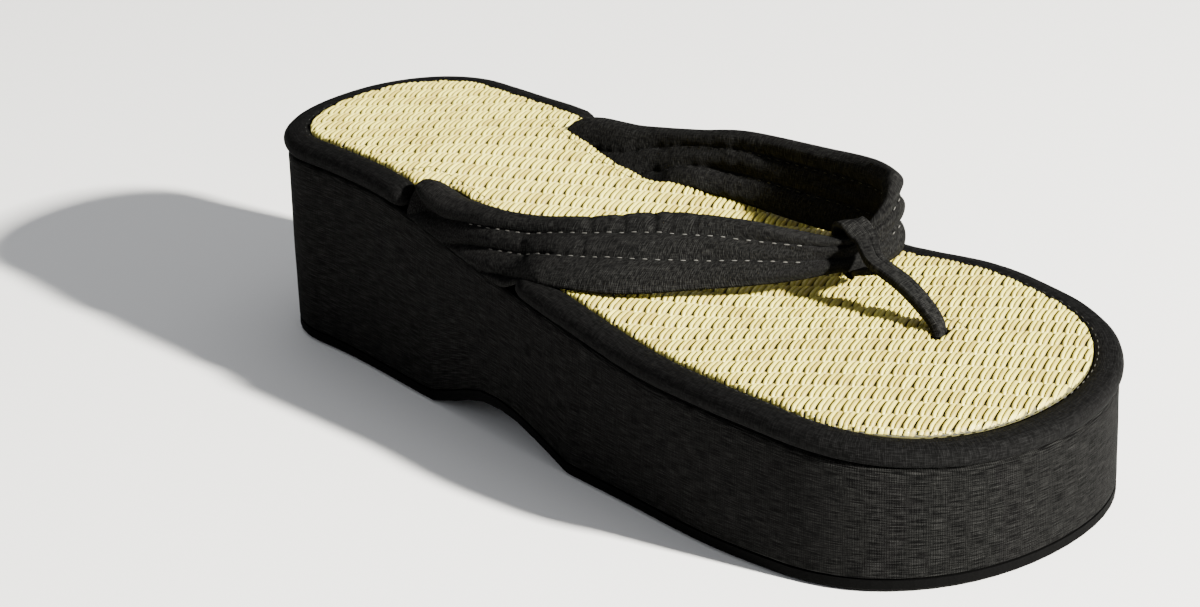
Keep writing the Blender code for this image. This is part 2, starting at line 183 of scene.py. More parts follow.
# The strap from its lateral root, through the toe loop and round to its medial root. Each
# edge has its share of the length, of the sole's half width there (negative on the lateral
# side) and of STRAP_RISE above the rim. A seated edge goes down to the top of the wedge.
SEATED = None
Section = namedtuple("Section", "top outer inner pleats")
STRAP = (
    Section((0.288, -0.84, 0.02), (0.286, -0.92, SEATED), (0.286, -0.78, SEATED), 0.6),
    Section((0.292, -0.83, 0.15), (0.289, -0.97, SEATED), (0.293, -0.70, SEATED), 0.9),
    Section((0.306, -0.83, 0.19), (0.306, -0.98, SEATED), (0.314, -0.66, SEATED), 1.2),
    Section((0.348, -0.83, 0.20), (0.348, -0.98, SEATED), (0.353, -0.65, SEATED), 1.8),
    Section((0.400, -0.79, 0.33), (0.402, -0.98, SEATED), (0.402, -0.66, SEATED), 2.7),
    Section((0.448, -0.71, 0.44), (0.452, -0.98, SEATED), (0.452, -0.74, SEATED), 3.35),
    Section((0.496, -0.58, 0.57), (0.494, -0.95, 0.06), (0.492, -0.80, 0.05), 3.0),
    Section((0.570, -0.30, 0.81), (0.557, -0.78, 0.16), (0.562, -0.68, 0.13), 3.0),
    Section((0.620, -0.12, 0.87), (0.618, -0.42, 0.26), (0.624, -0.31, 0.22), 3.0),
    Section((0.660, 0.04, 0.82), (0.668, -0.11, 0.31), (0.668, 0.00, 0.27), 3.0),
    Section((0.685, 0.21, 0.70), (0.699, 0.11, 0.36), (0.691, 0.24, 0.31), 3.0),
    Section((0.695, 0.29, 0.70), (0.708, 0.20, 0.36), (0.700, 0.32, 0.31), 3.0),
    Section((0.698, 0.46, 0.95), (0.706, 0.43, 0.26), (0.693, 0.48, 0.23), 3.0),
    Section((0.690, 0.58, 1.22), (0.697, 0.62, 0.22), (0.684, 0.58, 0.19), 3.0),
    Section((0.652, 0.71, 1.19), (0.660, 0.76, 0.20), (0.654, 0.67, 0.17), 3.0),
    Section((0.590, 0.82, 1.02), (0.580, 0.76, 0.18), (0.580, 0.65, 0.13), 3.0),
    Section((0.475, 0.91, 0.73), (0.500, 0.80, 0.11), (0.500, 0.63, 0.07), 3.0),
    Section((0.415, 0.90, 0.50), (0.442, 0.96, 0.05), (0.442, 0.54, 0.03), 3.0),
    Section((0.372, 0.88, 0.35), (0.398, 0.98, SEATED), (0.398, 0.46, SEATED), 2.9),
    Section((0.330, 0.85, 0.22), (0.345, 0.98, SEATED), (0.355, 0.46, SEATED), 1.8),
    Section((0.292, 0.80, 0.15), (0.300, 0.98, SEATED), (0.300, 0.53, SEATED), 1.2),
    Section((0.270, 0.72, 0.08), (0.272, 0.94, SEATED), (0.272, 0.54, SEATED), 0.9),
    Section((0.264, 0.66, 0.02), (0.264, 0.80, SEATED), (0.264, 0.58, SEATED), 0.6),
)

# The rows of the table that the toe loop gathers
LOOP_ROWS = (10, 11)

# Where each strap root breaks the rim: shares of the length
LATERAL_BREAK = (0.282, 0.464)
MEDIAL_BREAK = (0.260, 0.412)

# The toe post's middle line from the loop to its hole, and the way of its width in degrees
Route = namedtuple("Route", "along out up turn")
POST = (
    Route(0.7400, 0.168, 0.610, 70),
    Route(0.7540, 0.175, 0.540, 90),
    Route(0.7730, 0.184, 0.459, 97),
    Route(0.7900, 0.193, 0.345, 102),
    Route(0.8047, 0.200, 0.218, 108),
    Route(0.8165, 0.202, 0.098, 114),
    Route(0.8200, 0.201, -0.030, 118),
)

# The same strip's start inside the post, before it turns back under the gathered strap
TURN_BACK = (
    Route(0.745, 0.172, 0.500, 80),
    Route(0.729, 0.176, 0.430, 62),
)

# The strip's way round the gathered strap: degrees round it from its top, going over it to the
# front, and how far the strip stands there towards the medial end
LOOP = (
    (165, 5.0 * MM), (200, 4.0 * MM), (275, 1.4 * MM),
    (345, 0.9 * MM), (385, 1.9 * MM), (418, 4.0 * MM),
)

# The strip's width and thickness as shares, by the share of its length
STRIP_SIZES = (
    (0.0, 0.60, 0.8), (0.25, 0.95, 0.7), (0.45, 1.04, 0.7), (0.54, 0.84, 0.9),
    (0.62, 0.72, 1.1), (0.74, 0.78, 1.15), (0.88, 0.72, 1.1), (1.0, 0.62, 1.0),
)

# Creases pressed into the strap's faces, listed one by one: the row of the table and the share
# down the face where each one lies, its length, width and depth, its turn from the strap's run in
# degrees, and the face: 1 for the outer, -1 for the inner
Crease = namedtuple("Crease", "row share length width depth turn face")
CREASES = (
    Crease(1.6, 0.42, 12 * MM, 1.2 * MM, 1.0 * MM, 35, 1),
    Crease(2.4, 0.62, 14 * MM, 1.5 * MM, 0.8 * MM, 20, 1),
    Crease(3.6, 0.20, 10 * MM, 1.1 * MM, 0.5 * MM, -25, 1),
    Crease(6.25, 0.17, 7 * MM, 0.9 * MM, 0.60 * MM, 84, 1),
    Crease(6.60, 0.18, 7 * MM, 0.9 * MM, 0.75 * MM, 78, 1),
    Crease(6.95, 0.17, 8 * MM, 1.0 * MM, 0.85 * MM, 86, 1),
    Crease(7.20, 0.18, 7 * MM, 0.9 * MM, 0.70 * MM, 96, 1),
    Crease(7.55, 0.17, 7 * MM, 0.9 * MM, 0.60 * MM, 100, 1),
    Crease(5.30, 0.50, 8 * MM, 1.0 * MM, 0.60 * MM, 70, 1),
    Crease(6.40, 0.52, 7 * MM, 0.9 * MM, 0.45 * MM, 88, 1),
    Crease(8.9, 0.38, 26 * MM, 1.3 * MM, 1.6 * MM, 4, 1),
    Crease(9.2, 0.72, 20 * MM, 1.2 * MM, 1.4 * MM, -6, 1),
    Crease(10.0, 0.52, 14 * MM, 1.2 * MM, 1.2 * MM, 3, 1),
    Crease(12.1, 0.45, 14 * MM, 1.3 * MM, 0.8 * MM, 14, 1),
    Crease(12.4, 0.72, 12 * MM, 1.2 * MM, 0.7 * MM, -16, 1),
    Crease(13.4, 0.30, 14 * MM, 1.8 * MM, 0.6 * MM, 24, 1),
    Crease(14.6, 0.40, 26 * MM, 1.1 * MM, 0.7 * MM, 4, -1),
    Crease(16.4, 0.62, 26 * MM, 1.2 * MM, 0.8 * MM, -3, -1),
    Crease(16.9, 0.36, 20 * MM, 1.2 * MM, 0.7 * MM, 5, -1),
    Crease(12.4, 0.50, 16 * MM, 1.6 * MM, 0.7 * MM, 10, -1),
)
CREASE_STEP = 0.1

# The seams in the valleys between the pleats: which valley, the face as for a crease, and the
# rows of the table that each seam runs between
Seam = namedtuple("Seam", "label valley face first last")
STRAP_SEAMS = (
    Seam("lateral", 1, 1, 3.7, 9.3),
    Seam("medial", 1, 1, 12.5, 18.8),
    Seam("lateral_inner", 1, -1, 6.0, 9.3),
    Seam("medial_inner", 1, -1, 12.5, 17.6),
    Seam("lateral", 2, 1, 4.4, 9.3),
    Seam("medial", 2, 1, 12.5, 18.2),
    Seam("lateral_inner", 2, -1, 6.0, 9.3),
    Seam("medial_inner", 2, -1, 12.5, 17.6),
)

# Seams on the mat beside the strap roots: millimetres from the back of the heel and from the
# shoe's axis, about three millimetres inside the mat's cut edges
MAT_SEAMS = {
    "lateral": (
        (65, -36), (65.4, -31.5), (66.3, -27.6), (68.3, -26.6),
        (75, -26), (83, -26.3), (90, -27), (94, -27.6),
    ),
    "medial": ((62, 19), (65, 16.5), (72, 15), (80, 13.5), (90, 12.2), (100, 12), (106, 14)),
}
MAT_SEAM_PITCH = 2.2 * MM
MAT_SEAM_LIFT = 0.58 * MM
MAT_SEAM_POINTS = 60

# The arc of stitches round the post's hole: its half length and half width, and its ends
POST_ARC = (5.4 * MM, 6.6 * MM)
POST_ARC_ENDS = (60, 240)
POST_ARC_POINTS = 24
POST_ARC_PITCH = 2.4 * MM
POST_ARC_LIFT = 0.22 * MM

# The camera, fitted to the photograph: a point measured from the back of the heel, how far it
# looks down, its roll, and its heading from the shoe's length
IMAGE_WIDTH = 1200
FOCAL_PIXELS = 3325
SENSOR_WIDTH = 36.0
CAMERA_POINT = (0.695, -0.539, 0.351)
CAMERA_DOWN = math.radians(22.4)
CAMERA_ROLL = math.radians(-2.0)
CAMERA_HEADING = math.radians(47.8)

# The lamps: the direction each one shines from, its distance and size, its watts and colour
Lamp = namedtuple("Lamp", "name way distance size power colour")
LAMPS = (
    Lamp("key_lamp", (0.86, 0.20, 0.46), 2.2, 0.12, 380, "fffcf4"),
    Lamp("top_lamp", (-0.15, 0.35, 1.0), 1.6, 1.6, 4, "ffffff"),
    Lamp("front_lamp", (-0.2, -1.0, 0.55), 1.8, 1.2, 2, "eef3ff"),
)
WORLD_COLOUR = "f4f6fa"
WORLD_STRENGTH = 0.36
FLOOR_COLOUR = "f6f6f5"
FLOOR_SIZE = 6.0
FLOOR_DROP = 0.2 * MM

# How the sole's lines are read from the solids: as far in from the ends as rays find them, on
# past the ends, and with what counts as an upright or a level face
LINE_START = 9 * MM
LINE_PAST = 5 * MM
LINE_POINTS = 200
UPRIGHT = 0.05
STEEP = 0.3
LEVEL = 0.6


def smooth(keys, values, at):
    """Reads a smooth curve through a table, which never overshoots the table's values."""
    keys, values, at = (np.asarray(part, float) for part in (keys, values, at))
    values = values.reshape(len(keys), -1)
    steps = np.diff(keys)[:, None]
    rises = np.diff(values, axis=0) / steps
    before, after = rises[:-1], rises[1:]
    total = before + after
    safe = np.where(total == 0, 1, total)
    inner = np.where(before * after > 0, 2 * before * after / safe, 0)
    slopes = np.vstack([rises[:1], inner, rises[-1:]])
    i = np.clip(np.searchsorted(keys, at, side="right") - 1, 0, len(keys) - 2)
    t = np.clip((at - keys[i]) / steps[i, 0], 0, 1)[:, None]
    rise = values[i + 1] - values[i]
    start, end = slopes[i] * steps[i], slopes[i + 1] * steps[i]
    return values[i] + t * start + t**2 * (3 * rise - 2 * start - end) + t**3 * (start + end - 2 * rise)


def unit(vectors):
    """The same directions with a length of one."""
    return vectors / np.maximum(np.linalg.norm(vectors, axis=-1, keepdims=True), 1e-12)


def ripple(points, wave):
    """Smooth noise between -1 and 1 at each point, with bumps of about the wave's length."""
    offset = Vector((wave.seed * 17.1, wave.seed * 5.3, wave.seed * 9.7))
    return np.array([noise.noise(Vector(point) / wave.length + offset) for point in points])


def distance_along(line):
    """How far along a line each of its points lies."""
    return np.concatenate([[0], np.cumsum(np.linalg.norm(np.diff(line, axis=0), axis=1))])


def placed(name, data):
    """A new object in the scene."""
    made = bpy.data.objects.new(name, data)
    bpy.context.scene.collection.objects.link(made)
    return made


def tree_of(node):
    """A search tree over a CAD node's faces."""
    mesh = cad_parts[node].data
    mesh.calc_loop_triangles()
    points = [vertex.co for vertex in mesh.vertices]
    return BVHTree.FromPolygons(points, [tuple(face.vertices) for face in mesh.loop_triangles])


def height_line(node, start, way):
    """Heights of a CAD node along the shoe's axis, met from the given side."""
    tree = tree_of(node)
    places = np.linspace(HEEL_X + LINE_START, HEEL_X + LENGTH - LINE_START, LINE_POINTS)
    hits = [tree.ray_cast(Vector((x, AXIS_Y, start)), Vector((0, 0, way)))[0] for x in places]
    heights = np.array([hit.z for hit in hits])
    first = (heights[1] - heights[0]) / (places[1] - places[0])
    last = (heights[-1] - heights[-2]) / (places[-1] - places[-2])
    ends = (HEEL_X - LINE_PAST, HEEL_X + LENGTH + LINE_PAST)
    low = heights[0] + (ends[0] - places[0]) * first
    high = heights[-1] + (ends[1] - places[-1]) * last
    places = np.concatenate([[ends[0]], places, [ends[1]]])
    return places, np.concatenate([[low], heights, [high]])


MAT_LINE = height_line("straw_mat", ABOVE, -1)
UNDER_LINE = height_line("outsole", BELOW, 1)


def mat_top(x):
    """Height of the mat's top at x."""
    return np.interp(x, *MAT_LINE)


def seat(x):
    """Height of the rim at x."""
    return mat_top(x) - MAT_STANDS


def shelf(x):
    """Height of the wedge's top at x."""
    return seat(x) - FOOTBED_THICKNESS


def underside(x):
    """Height of the sole's underside at x."""
    return np.interp(x, *UNDER_LINE)


def wall_line(node, refine):
    """A node's upright wall seen from above, as a closed smooth line, heel first, lateral side next."""
    mesh = bmesh.new()
    mesh.from_mesh(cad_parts[node].data)
    corners = {}
    for face in mesh.faces:
        if abs(face.normal.z) < UPRIGHT:
            for vertex in face.verts:
                corners[(round(vertex.co.x, 5), round(vertex.co.y, 5))] = vertex.co.xy
    mesh.free()
    loop = sorted(corners.values(), key=lambda point: math.atan2(point.y - AXIS_Y - 1e-6, point.x))
    loop = np.array([tuple(point) for point in loop])
    fine = []
    for i in range(len(loop)):
        a, b, c, d = (loop[(i + k) % len(loop)] for k in (-1, 0, 1, 2))
        for t in np.arange(refine) / refine:
            curve = (b * 2 + (c - a) * t + (a * 2 - b * 5 + c * 4 - d) * t**2
                     + (b * 3 - a - c * 3 + d) * t**3)
            fine.append(curve / 2)
    return np.array(fine)


def inset(line, distance):
    """A closed line moved inwards by a distance, or by one for each of its points."""
    along = np.roll(line, -1, axis=0) - np.roll(line, 1, axis=0)
    inward = unit(np.stack([-along[:, 1], along[:, 0]], axis=1))
    return line + inward * np.reshape(distance, (-1, 1))


SOLE_LINE = inset(wall_line("outsole", 4), -RIM_OVERHANG)


def half_width(x, side):
    """The sole's half width at x on one side, in the stretch between its round ends."""
    half = len(SOLE_LINE) // 2
    lateral, medial = SOLE_LINE[:half + 1], SOLE_LINE[:half - 1:-1]
    at_lateral = AXIS_Y - np.interp(x, lateral[:, 0], lateral[:, 1])
    at_medial = np.interp(x, medial[:, 0], medial[:, 1]) - AXIS_Y
    return np.where(side < 0, at_lateral, at_medial)


def add(tree, kind, inputs=None, **settings):
    """Adds a node with its settings; an input is a value, an output, or a node for its first output."""
    made = tree.nodes.new(kind)
    for name, value in settings.items():
        setattr(made, name, value)
    for name, value in (inputs or {}).items():
        if isinstance(value, bpy.types.Node):
            value = value.outputs[0]
        if isinstance(value, bpy.types.NodeSocket):
            tree.links.new(value, made.inputs[name])
        else:
            made.inputs[name].default_value = value
    return made


def linear(text):
    """The linear colour of an sRGB hex value."""
    parts = [int(text[i:i + 2], 16) / 255 for i in (0, 2, 4)]
    return tuple(c / 12.92 if c <= 0.04045 else ((c + 0.055) / 1.055) ** 2.4 for c in parts) + (1.0,)


def new_material(name, roughness, coat=0.0, gloss=0.5):
    """A material with its shader; returns it with its node tree and the shader."""
    made = bpy.data.materials.new(name)
    made.use_nodes = True
    shader = made.node_tree.nodes["Principled BSDF"]
    shader.inputs["Roughness"].default_value = roughness
    shader.inputs["Specular IOR Level"].default_value = gloss
    shader.inputs["Coat Weight"].default_value = coat
    return made, made.node_tree, shader


def woven_cloth(name, pitch, dark, light, slub, slub_length, depth, lengthwise, roughness):
    """Plain-woven cotton: threads go over and under each other, and thick slubs run along them, with
    painted shade in the gaps between threads.
    """
    made, tree, shader = new_material(name, roughness, gloss=0.04)
    place = add(tree, "ShaderNodeUVMap", uv_map="Cloth")
    scaled = add(tree, "ShaderNodeVectorMath", {0: place, "Scale": math.pi / pitch}, operation="SCALE")
    parts = add(tree, "ShaderNodeSeparateXYZ", {0: scaled})
    warp = add(tree, "ShaderNodeMath", {0: parts.outputs[0]}, operation="SINE")
    weft = add(tree, "ShaderNodeMath", {0: parts.outputs[1]}, operation="SINE")
    crossing = add(tree, "ShaderNodeMath", {0: warp, 1: weft}, operation="MULTIPLY")
    over = add(tree, "ShaderNodeMapRange", {0: crossing, 1: -0.5, 2: 0.5, 3: 0.0, 4: 1.0})
    warp_side = add(tree, "ShaderNodeMath", {0: warp}, operation="ABSOLUTE")
    weft_side = add(tree, "ShaderNodeMath", {0: weft}, operation="ABSOLUTE")
    weave = add(tree, "ShaderNodeMix", {0: over, 2: warp_side, 3: weft_side})
    streaks = []
    for across, along in ((1.0, slub_length), (slub_length, 1.0)):
        size = (1 / (slub * across), 1 / (slub * along), 1.0)
        moved = add(tree, "ShaderNodeMapping", {0: place, "Scale": size})
        streaks.append(add(tree, "ShaderNodeTexNoise", {"Vector": moved, "Scale": 1.0, "Detail": 2.0}))
    slubs = add(tree, "ShaderNodeMix", {0: lengthwise, 2: streaks[0], 3: streaks[1]})
    share = add(tree, "ShaderNodeMapRange", {0: slubs, 1: 0.43, 2: 0.68, 3: 0.0, 4: 1.0})
    # Greyer slubs, shown only on the threads' crowns: the gaps between threads keep the dark colour as
    # painted shade
    slubs_with_gap_shade = add(tree, "ShaderNodeMath", {0: share, 1: weave}, operation="MULTIPLY")
    shades = {0: slubs_with_gap_shade, 6: linear(dark), 7: linear(light)}
    colour = add(tree, "ShaderNodeMix", shades, data_type="RGBA")
    tree.links.new(colour.outputs[2], shader.inputs["Base Color"])
    relief = add(tree, "ShaderNodeMath", {0: weave, 1: share}, operation="ADD")
    bump = add(tree, "ShaderNodeBump", {"Strength": 1.0, "Distance": depth, "Height": relief})
    tree.links.new(bump.outputs[0], shader.inputs["Normal"])
    return made


def rush_straw(name, pale, golden, shade, roughness):
    """Dried rush: long fibres along each straw, a dull natural gloss, no two straws alike, and painted
    shade along the floats' edges.
    """
    made, tree, shader = new_material(name, roughness, coat=0.08)
    tint = add(tree, "ShaderNodeAttribute", attribute_name="tint").outputs["Fac"]
    place = add(tree, "ShaderNodeTexCoord").outputs["Object"]
    heading = (0, 0, math.pi / 2 - RIB_TURN + STRAW_LEAN)
    turned = add(tree, "ShaderNodeMapping", {0: place, "Rotation": heading})
    thin = (1 / (3 * MM), 1 / (0.16 * MM), 1 / (3 * MM))
    fibre = add(tree, "ShaderNodeMapping", {0: turned, "Scale": thin})
    grain = add(tree, "ShaderNodeTexNoise", {"Vector": fibre, "Scale": 1.0, "Detail": 2.0})
    blotch = add(tree, "ShaderNodeTexNoise", {"Vector": place, "Scale": 1 / (9 * MM), "Detail": 2.0})
    drift = add(tree, "ShaderNodeMath", {0: tint, 1: blotch}, operation="MULTIPLY")
    share = add(tree, "ShaderNodeMapRange", {0: drift, 1: 0.05, 2: 0.50, 3: 0.0, 4: 1.0})
    sunned = {0: share, 6: linear(pale), 7: linear(golden)}
    base = add(tree, "ShaderNodeMix", sunned, data_type="RGBA").outputs[2]
    lines = add(tree, "ShaderNodeMapRange", {0: grain, 1: 0.35, 2: 0.75, 3: 0.0, 4: 0.35})
    # Painted shade on the floats' edges and in the gaps, taken with the grain's fibre lines, mixes the
    # colour towards the shade colour
    dip = add(tree, "ShaderNodeAttribute", attribute_name="dip").outputs["Fac"]
    low = add(tree, "ShaderNodeMath", {0: dip, 1: 0.95}, operation="MULTIPLY")
    grain_and_gap_shade = add(tree, "ShaderNodeMath", {0: low, 1: lines}, operation="MAXIMUM")
    colour = add(tree, "ShaderNodeMix", {0: grain_and_gap_shade, 6: base, 7: linear(shade)}, data_type="RGBA")
    tree.links.new(colour.outputs[2], shader.inputs["Base Color"])
    bump = add(tree, "ShaderNodeBump", {"Strength": 0.6, "Distance": 0.08 * MM, "Height": grain})
    tree.links.new(bump.outputs[0], shader.inputs["Normal"])
    return made


def spun_thread(name, colour, pitch):
    """Twisted sewing thread with a soft gloss."""
    made, tree, shader = new_material(name, 0.60, gloss=0.2)
    shader.inputs["Base Color"].default_value = linear(colour)
    place = add(tree, "ShaderNodeTexCoord").outputs["Object"]
    twist = add(tree, "ShaderNodeTexWave", {"Vector": place, "Scale": 1 / pitch, "Distortion": 1.0})
    relief = {"Strength": 0.4, "Distance": 0.05 * MM, "Height": twist.outputs["Fac"]}
    bump = add(tree, "ShaderNodeBump", relief)
    tree.links.new(bump.outputs[0], shader.inputs["Normal"])
    return made


def outsole_rubber(name):
    """Moulded sheet rubber: matt black with a fine diamond tread underneath."""
    made, tree, shader = new_material(name, 0.85, gloss=0.03)
    place = add(tree, "ShaderNodeTexCoord").outputs["Object"]
    diamonds = {0: place, "Rotation": (0, 0, math.radians(45)), "Scale": [1 / (3 * MM)] * 3}
    turned = add(tree, "ShaderNodeMapping", diamonds)
    cells = add(tree, "ShaderNodeVectorMath", {0: turned}, operation="FRACTION")
    parts = add(tree, "ShaderNodeSeparateXYZ", {0: cells})
    lines = []
    for i in (0, 1):
        stud = {0: parts.outputs[i], 1: 0.5, 2: 0.32}
        lines.append(add(tree, "ShaderNodeMath", stud, operation="COMPARE"))
    studs = add(tree, "ShaderNodeMath", {0: lines[0], 1: lines[1]}, operation="MULTIPLY")
    grit = add(tree, "ShaderNodeTexNoise", {"Vector": place, "Scale": 1 / (0.6 * MM), "Detail": 3.0})
    relief = add(tree, "ShaderNodeMath", {0: grit, 1: 0.15, 2: studs}, operation="MULTIPLY_ADD")
    bump = add(tree, "ShaderNodeBump", {"Strength": 0.8, "Distance": 0.5 * MM, "Height": relief})
    shades = {0: grit, 6: linear("020202"), 7: linear("050505")}
    colour = add(tree, "ShaderNodeMix", shades, data_type="RGBA")
    tree.links.new(colour.outputs[2], shader.inputs["Base Color"])
    tree.links.new(bump.outputs[0], shader.inputs["Normal"])
    return made


# Coarse cotton in linen weave, glued round the wedge: a dull black with greyer slubs along it.
# On all three cottons, threads of about 0.2 mm are drawn at 0.40 to 0.55 mm, as coarse as it
# takes to show
COVER_COTTON = woven_cloth(
    "cover_cotton", pitch=0.55 * MM, dark="020202", light="282827", slub=0.34 * MM,
    slub_length=14, depth=0.16 * MM, lengthwise=0.75, roughness=0.92)

# Fine, close cotton, rolled round the rim: near black and almost smooth
RIM_COTTON = woven_cloth(
    "rim_cotton", pitch=0.40 * MM, dark="030303", light="171717", slub=0.40 * MM,
    slub_length=6, depth=0.05 * MM, lengthwise=0.5, roughness=0.85)

# Soft worn cotton of the strap and the post: charcoal, with short slubs mostly across it
STRAP_COTTON = woven_cloth(
    "strap_cotton", pitch=0.46 * MM, dark="060606", light="292928", slub=0.34 * MM,
    slub_length=8, depth=0.10 * MM, lengthwise=0.38, roughness=0.90)

# Dried rush: pale yellow with golden straws among it, and painted shade in the gaps along the
# straws' edges. The same rush under the weave has the shade it lies in painted into its dark colours
STRAW = rush_straw("rush_straw", "dacf5e", "a9983f", "574d22", 0.50)
STRAW_GROUND_PAINTED_SHADE = rush_straw("rush_straw_ground", "4a461f", "383517", "22200e", 0.70)

# Spun polyester sewing thread, with a soft gloss: pale on the strap's outer face and grey on the
# rim, colours that hold painted glints of the lit thread, black on the inner face and dark on the mat
THREAD_TWIST = 0.5 * MM
PALE_GLINT_THREAD = spun_thread("pale_thread", "4b4a47", THREAD_TWIST)
GREY_GLINT_THREAD = spun_thread("grey_thread", "2e2e2c", THREAD_TWIST)
BLACK_THREAD = spun_thread("black_thread", "0a0a0a", THREAD_TWIST)
DARK_THREAD = spun_thread("dark_thread", "3a3422", THREAD_TWIST)

# Moulded rubber sheet: the mattest black of all
RUBBER = outsole_rubber("outsole_rubber")


def finish_piece(piece, material):
    """Gives a piece its material and slot, and sets it on the sole."""
    piece.data.materials.clear()
    piece.data.materials.append(material)
    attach(piece, "root")
    return piece


def skin(name, rows, wrap=False, ring=False, ends=False):
    """A surface through rows of points. Its UV map is in metres: along the rows, and across them."""
    rows = np.asarray(rows, float)
    count, width = rows.shape[:2]
    line = np.vstack([rows[:, 0], rows[:1, 0]]) if ring else rows.mean(axis=1)
    along = distance_along(line)
    closed = np.concatenate([rows, rows[:, :1]], axis=1)
    widest = np.linalg.norm(np.diff(closed, axis=1), axis=2).max(axis=0)
    cross = np.concatenate([[0], np.cumsum(widest)])
    faces, loops = [], []
    for i in range(count if ring else count - 1):
        for j in range(width if wrap else width - 1):
            a, b = (i + 1) % count, (j + 1) % width
            faces.append((i * width + j, a * width + j, a * width + b, i * width + b))
            places = ((i, j), (i + 1, j), (i + 1, j + 1), (i, j + 1))
            loops += [(along[row], cross[col]) for row, col in places]
    if ends:
        for row in (0, count - 1):
            faces.append(tuple(range(row * width, (row + 1) * width)))
            loops += [(along[row], cross[j]) for j in range(width)]
    mesh = bpy.data.meshes.new(name)
    mesh.from_pydata(rows.reshape(-1, 3).tolist(), [], faces)
    layer = mesh.uv_layers.new(name="Cloth")
    layer.data.foreach_set("uv", np.array(loops, np.float32).ravel())
    outward(mesh)
    mesh.shade_smooth()
    return placed(name, mesh)


def outward(mesh):
    """Turns a mesh's faces outwards."""
    work = bmesh.new()
    work.from_mesh(mesh)
    bmesh.ops.recalc_face_normals(work, faces=work.faces)
    work.to_mesh(mesh)
    work.free()


def cover_levels():
    """Rings up the wedge: how far in each one lies, its share of the way up, and its lift."""
    levels = []
    for turn in np.radians(np.linspace(90, 0, 4)):
        shrink, lift = 1 - math.cos(turn), 1 - math.sin(turn)
        levels.append((RIM_OVERHANG + COVER_ROUND / 2 * shrink, 0.0, COVER_ROUND / 2 * lift))
    for share in np.linspace(0.06, 0.96, 22):
        levels.append((RIM_OVERHANG, share, 0.0))
    for turn in np.radians(np.linspace(0, 90, 5)):
        shrink, lift = 1 - math.cos(turn), 1 - math.sin(turn)
        levels.append((RIM_OVERHANG + COVER_ROUND * shrink, 1.0, -COVER_ROUND * lift))
    return levels


def cover():
    """The cotton cover drawn round the wedge, with the slight waves of glued cloth."""
    rings = []
    for distance, share, lift in cover_levels():
        line = inset(SOLE_LINE, distance)
        low = underside(line[:, 0]) + OUTSOLE_THICKNESS + GAP
        high = shelf(line[:, 0]) - GAP
        heights = low + (high - low) * share + lift
        points = np.column_stack([line, heights])
        wave = sum(ripple(points, wave) * wave.height for wave in COVER_WAVES)
        free = math.sin(math.pi * share) ** 0.5 if 0 < share < 1 else 0.0
        moved = inset(SOLE_LINE, distance - np.abs(wave) * free)
        rings.append(np.column_stack([moved, heights]))
    rows = np.array(rings).transpose(1, 0, 2)
    piece = skin("cotton_cover", rows, ring=True)
    close_across(piece, *rows.shape[:2])
    return finish_piece(piece, COVER_COTTON)


def close_across(piece, count, width):
    """Closes a ring-shaped wall above and below with strips from its lateral to its medial side."""
    work = bmesh.new()
    work.from_mesh(piece.data)
    work.verts.ensure_lookup_table()
    for j in (0, width - 1):
        for i in range(count // 2):
            corners = [i, i + 1, (count - i - 1) % count, (count - i) % count]
            work.faces.new([work.verts[k * width + j] for k in dict.fromkeys(corners)])
    bmesh.ops.recalc_face_normals(work, faces=work.faces)
    work.to_mesh(piece.data)
    work.free()
    piece.data.shade_smooth()
    piece.data.set_sharp_from_angle(angle=COVER_SHARP)


def rim_profile():
    """The rolled rim's cross-section: inset and height above the wedge, round its outer roll first."""
    half = FOOTBED_THICKNESS / 2
    points = []
    for turn in np.radians(np.linspace(-90, 90, 15)):
        points.append((RIM_BULGE * (1 - math.cos(turn)), half * (1 + math.sin(turn))))
    for share in np.linspace(0.12, 0.88, 7):
        crown = RIM_CROWN * math.sin(math.pi * share)
        points.append((RIM_BULGE + (RIM_WIDTH - RIM_BULGE) * share, FOOTBED_THICKNESS + crown))
    lip = RIM_WIDTH + RIM_LIP_REACH
    for turn in np.radians(np.linspace(70, 0, 4)):
        shrink, drop = 1 - math.cos(turn), 1 - math.sin(turn)
        points.append((lip - RIM_LIP_ROUND * shrink, FOOTBED_THICKNESS - RIM_LIP_ROUND * drop))
    points.append((lip, half))
    points.append((lip, 0.1 * MM))
    return np.array(points)


def rim_part(name, places):
    """One stretch of the rolled rim between two strap roots, with its cloth tucked in at both ends."""
    line = SOLE_LINE[places]
    along = np.gradient(line, axis=0)
    inward = unit(np.stack([-along[:, 1], along[:, 0]], axis=1))
    length = distance_along(line)
    to_end = np.minimum(length, length[-1] - length)
    share = np.clip(to_end / RIM_END_ROUND, 0, 1)
    size = np.sqrt(np.maximum(1 - (1 - share) ** 2, RIM_END_LEAST))
    profile = rim_profile()
    middle = np.array([RIM_WIDTH / 2, FOOTBED_THICKNESS * 0.4])
    rows = []
    for i, point in enumerate(line):
        section = middle + (profile - middle) * size[i]
        outer = section[:, :1] < RIM_BULGE
        wave = ripple([(*point, height) for height in section[:, 1]], RIM_WAVE)
        flat = point + inward[i] * (section[:, :1] - outer * wave[:, None] * RIM_WAVE.height)
        rows.append(np.column_stack([flat, shelf(point[0]) + section[:, 1]]))
    piece = skin(name, rows, wrap=True, ends=True)
    return finish_piece(piece, RIM_COTTON)


def rim_places():
    """The stretches of the sole's outline that the rim follows: round the heel, and round the toe."""
    half = len(SOLE_LINE) // 2
    share = (SOLE_LINE[:, 0] - HEEL_X) / LENGTH
    order = np.arange(len(SOLE_LINE))
    lateral, medial = order <= half, order >= half
    heel = [i for i in order[medial] if share[i] < MEDIAL_BREAK[0]]
    heel += [i for i in order[lateral] if share[i] < LATERAL_BREAK[0]]
    toe = [i for i in order[lateral] if share[i] > LATERAL_BREAK[1]]
    toe += [i for i in order[order > half] if share[i] > MEDIAL_BREAK[1]]
    return heel, toe


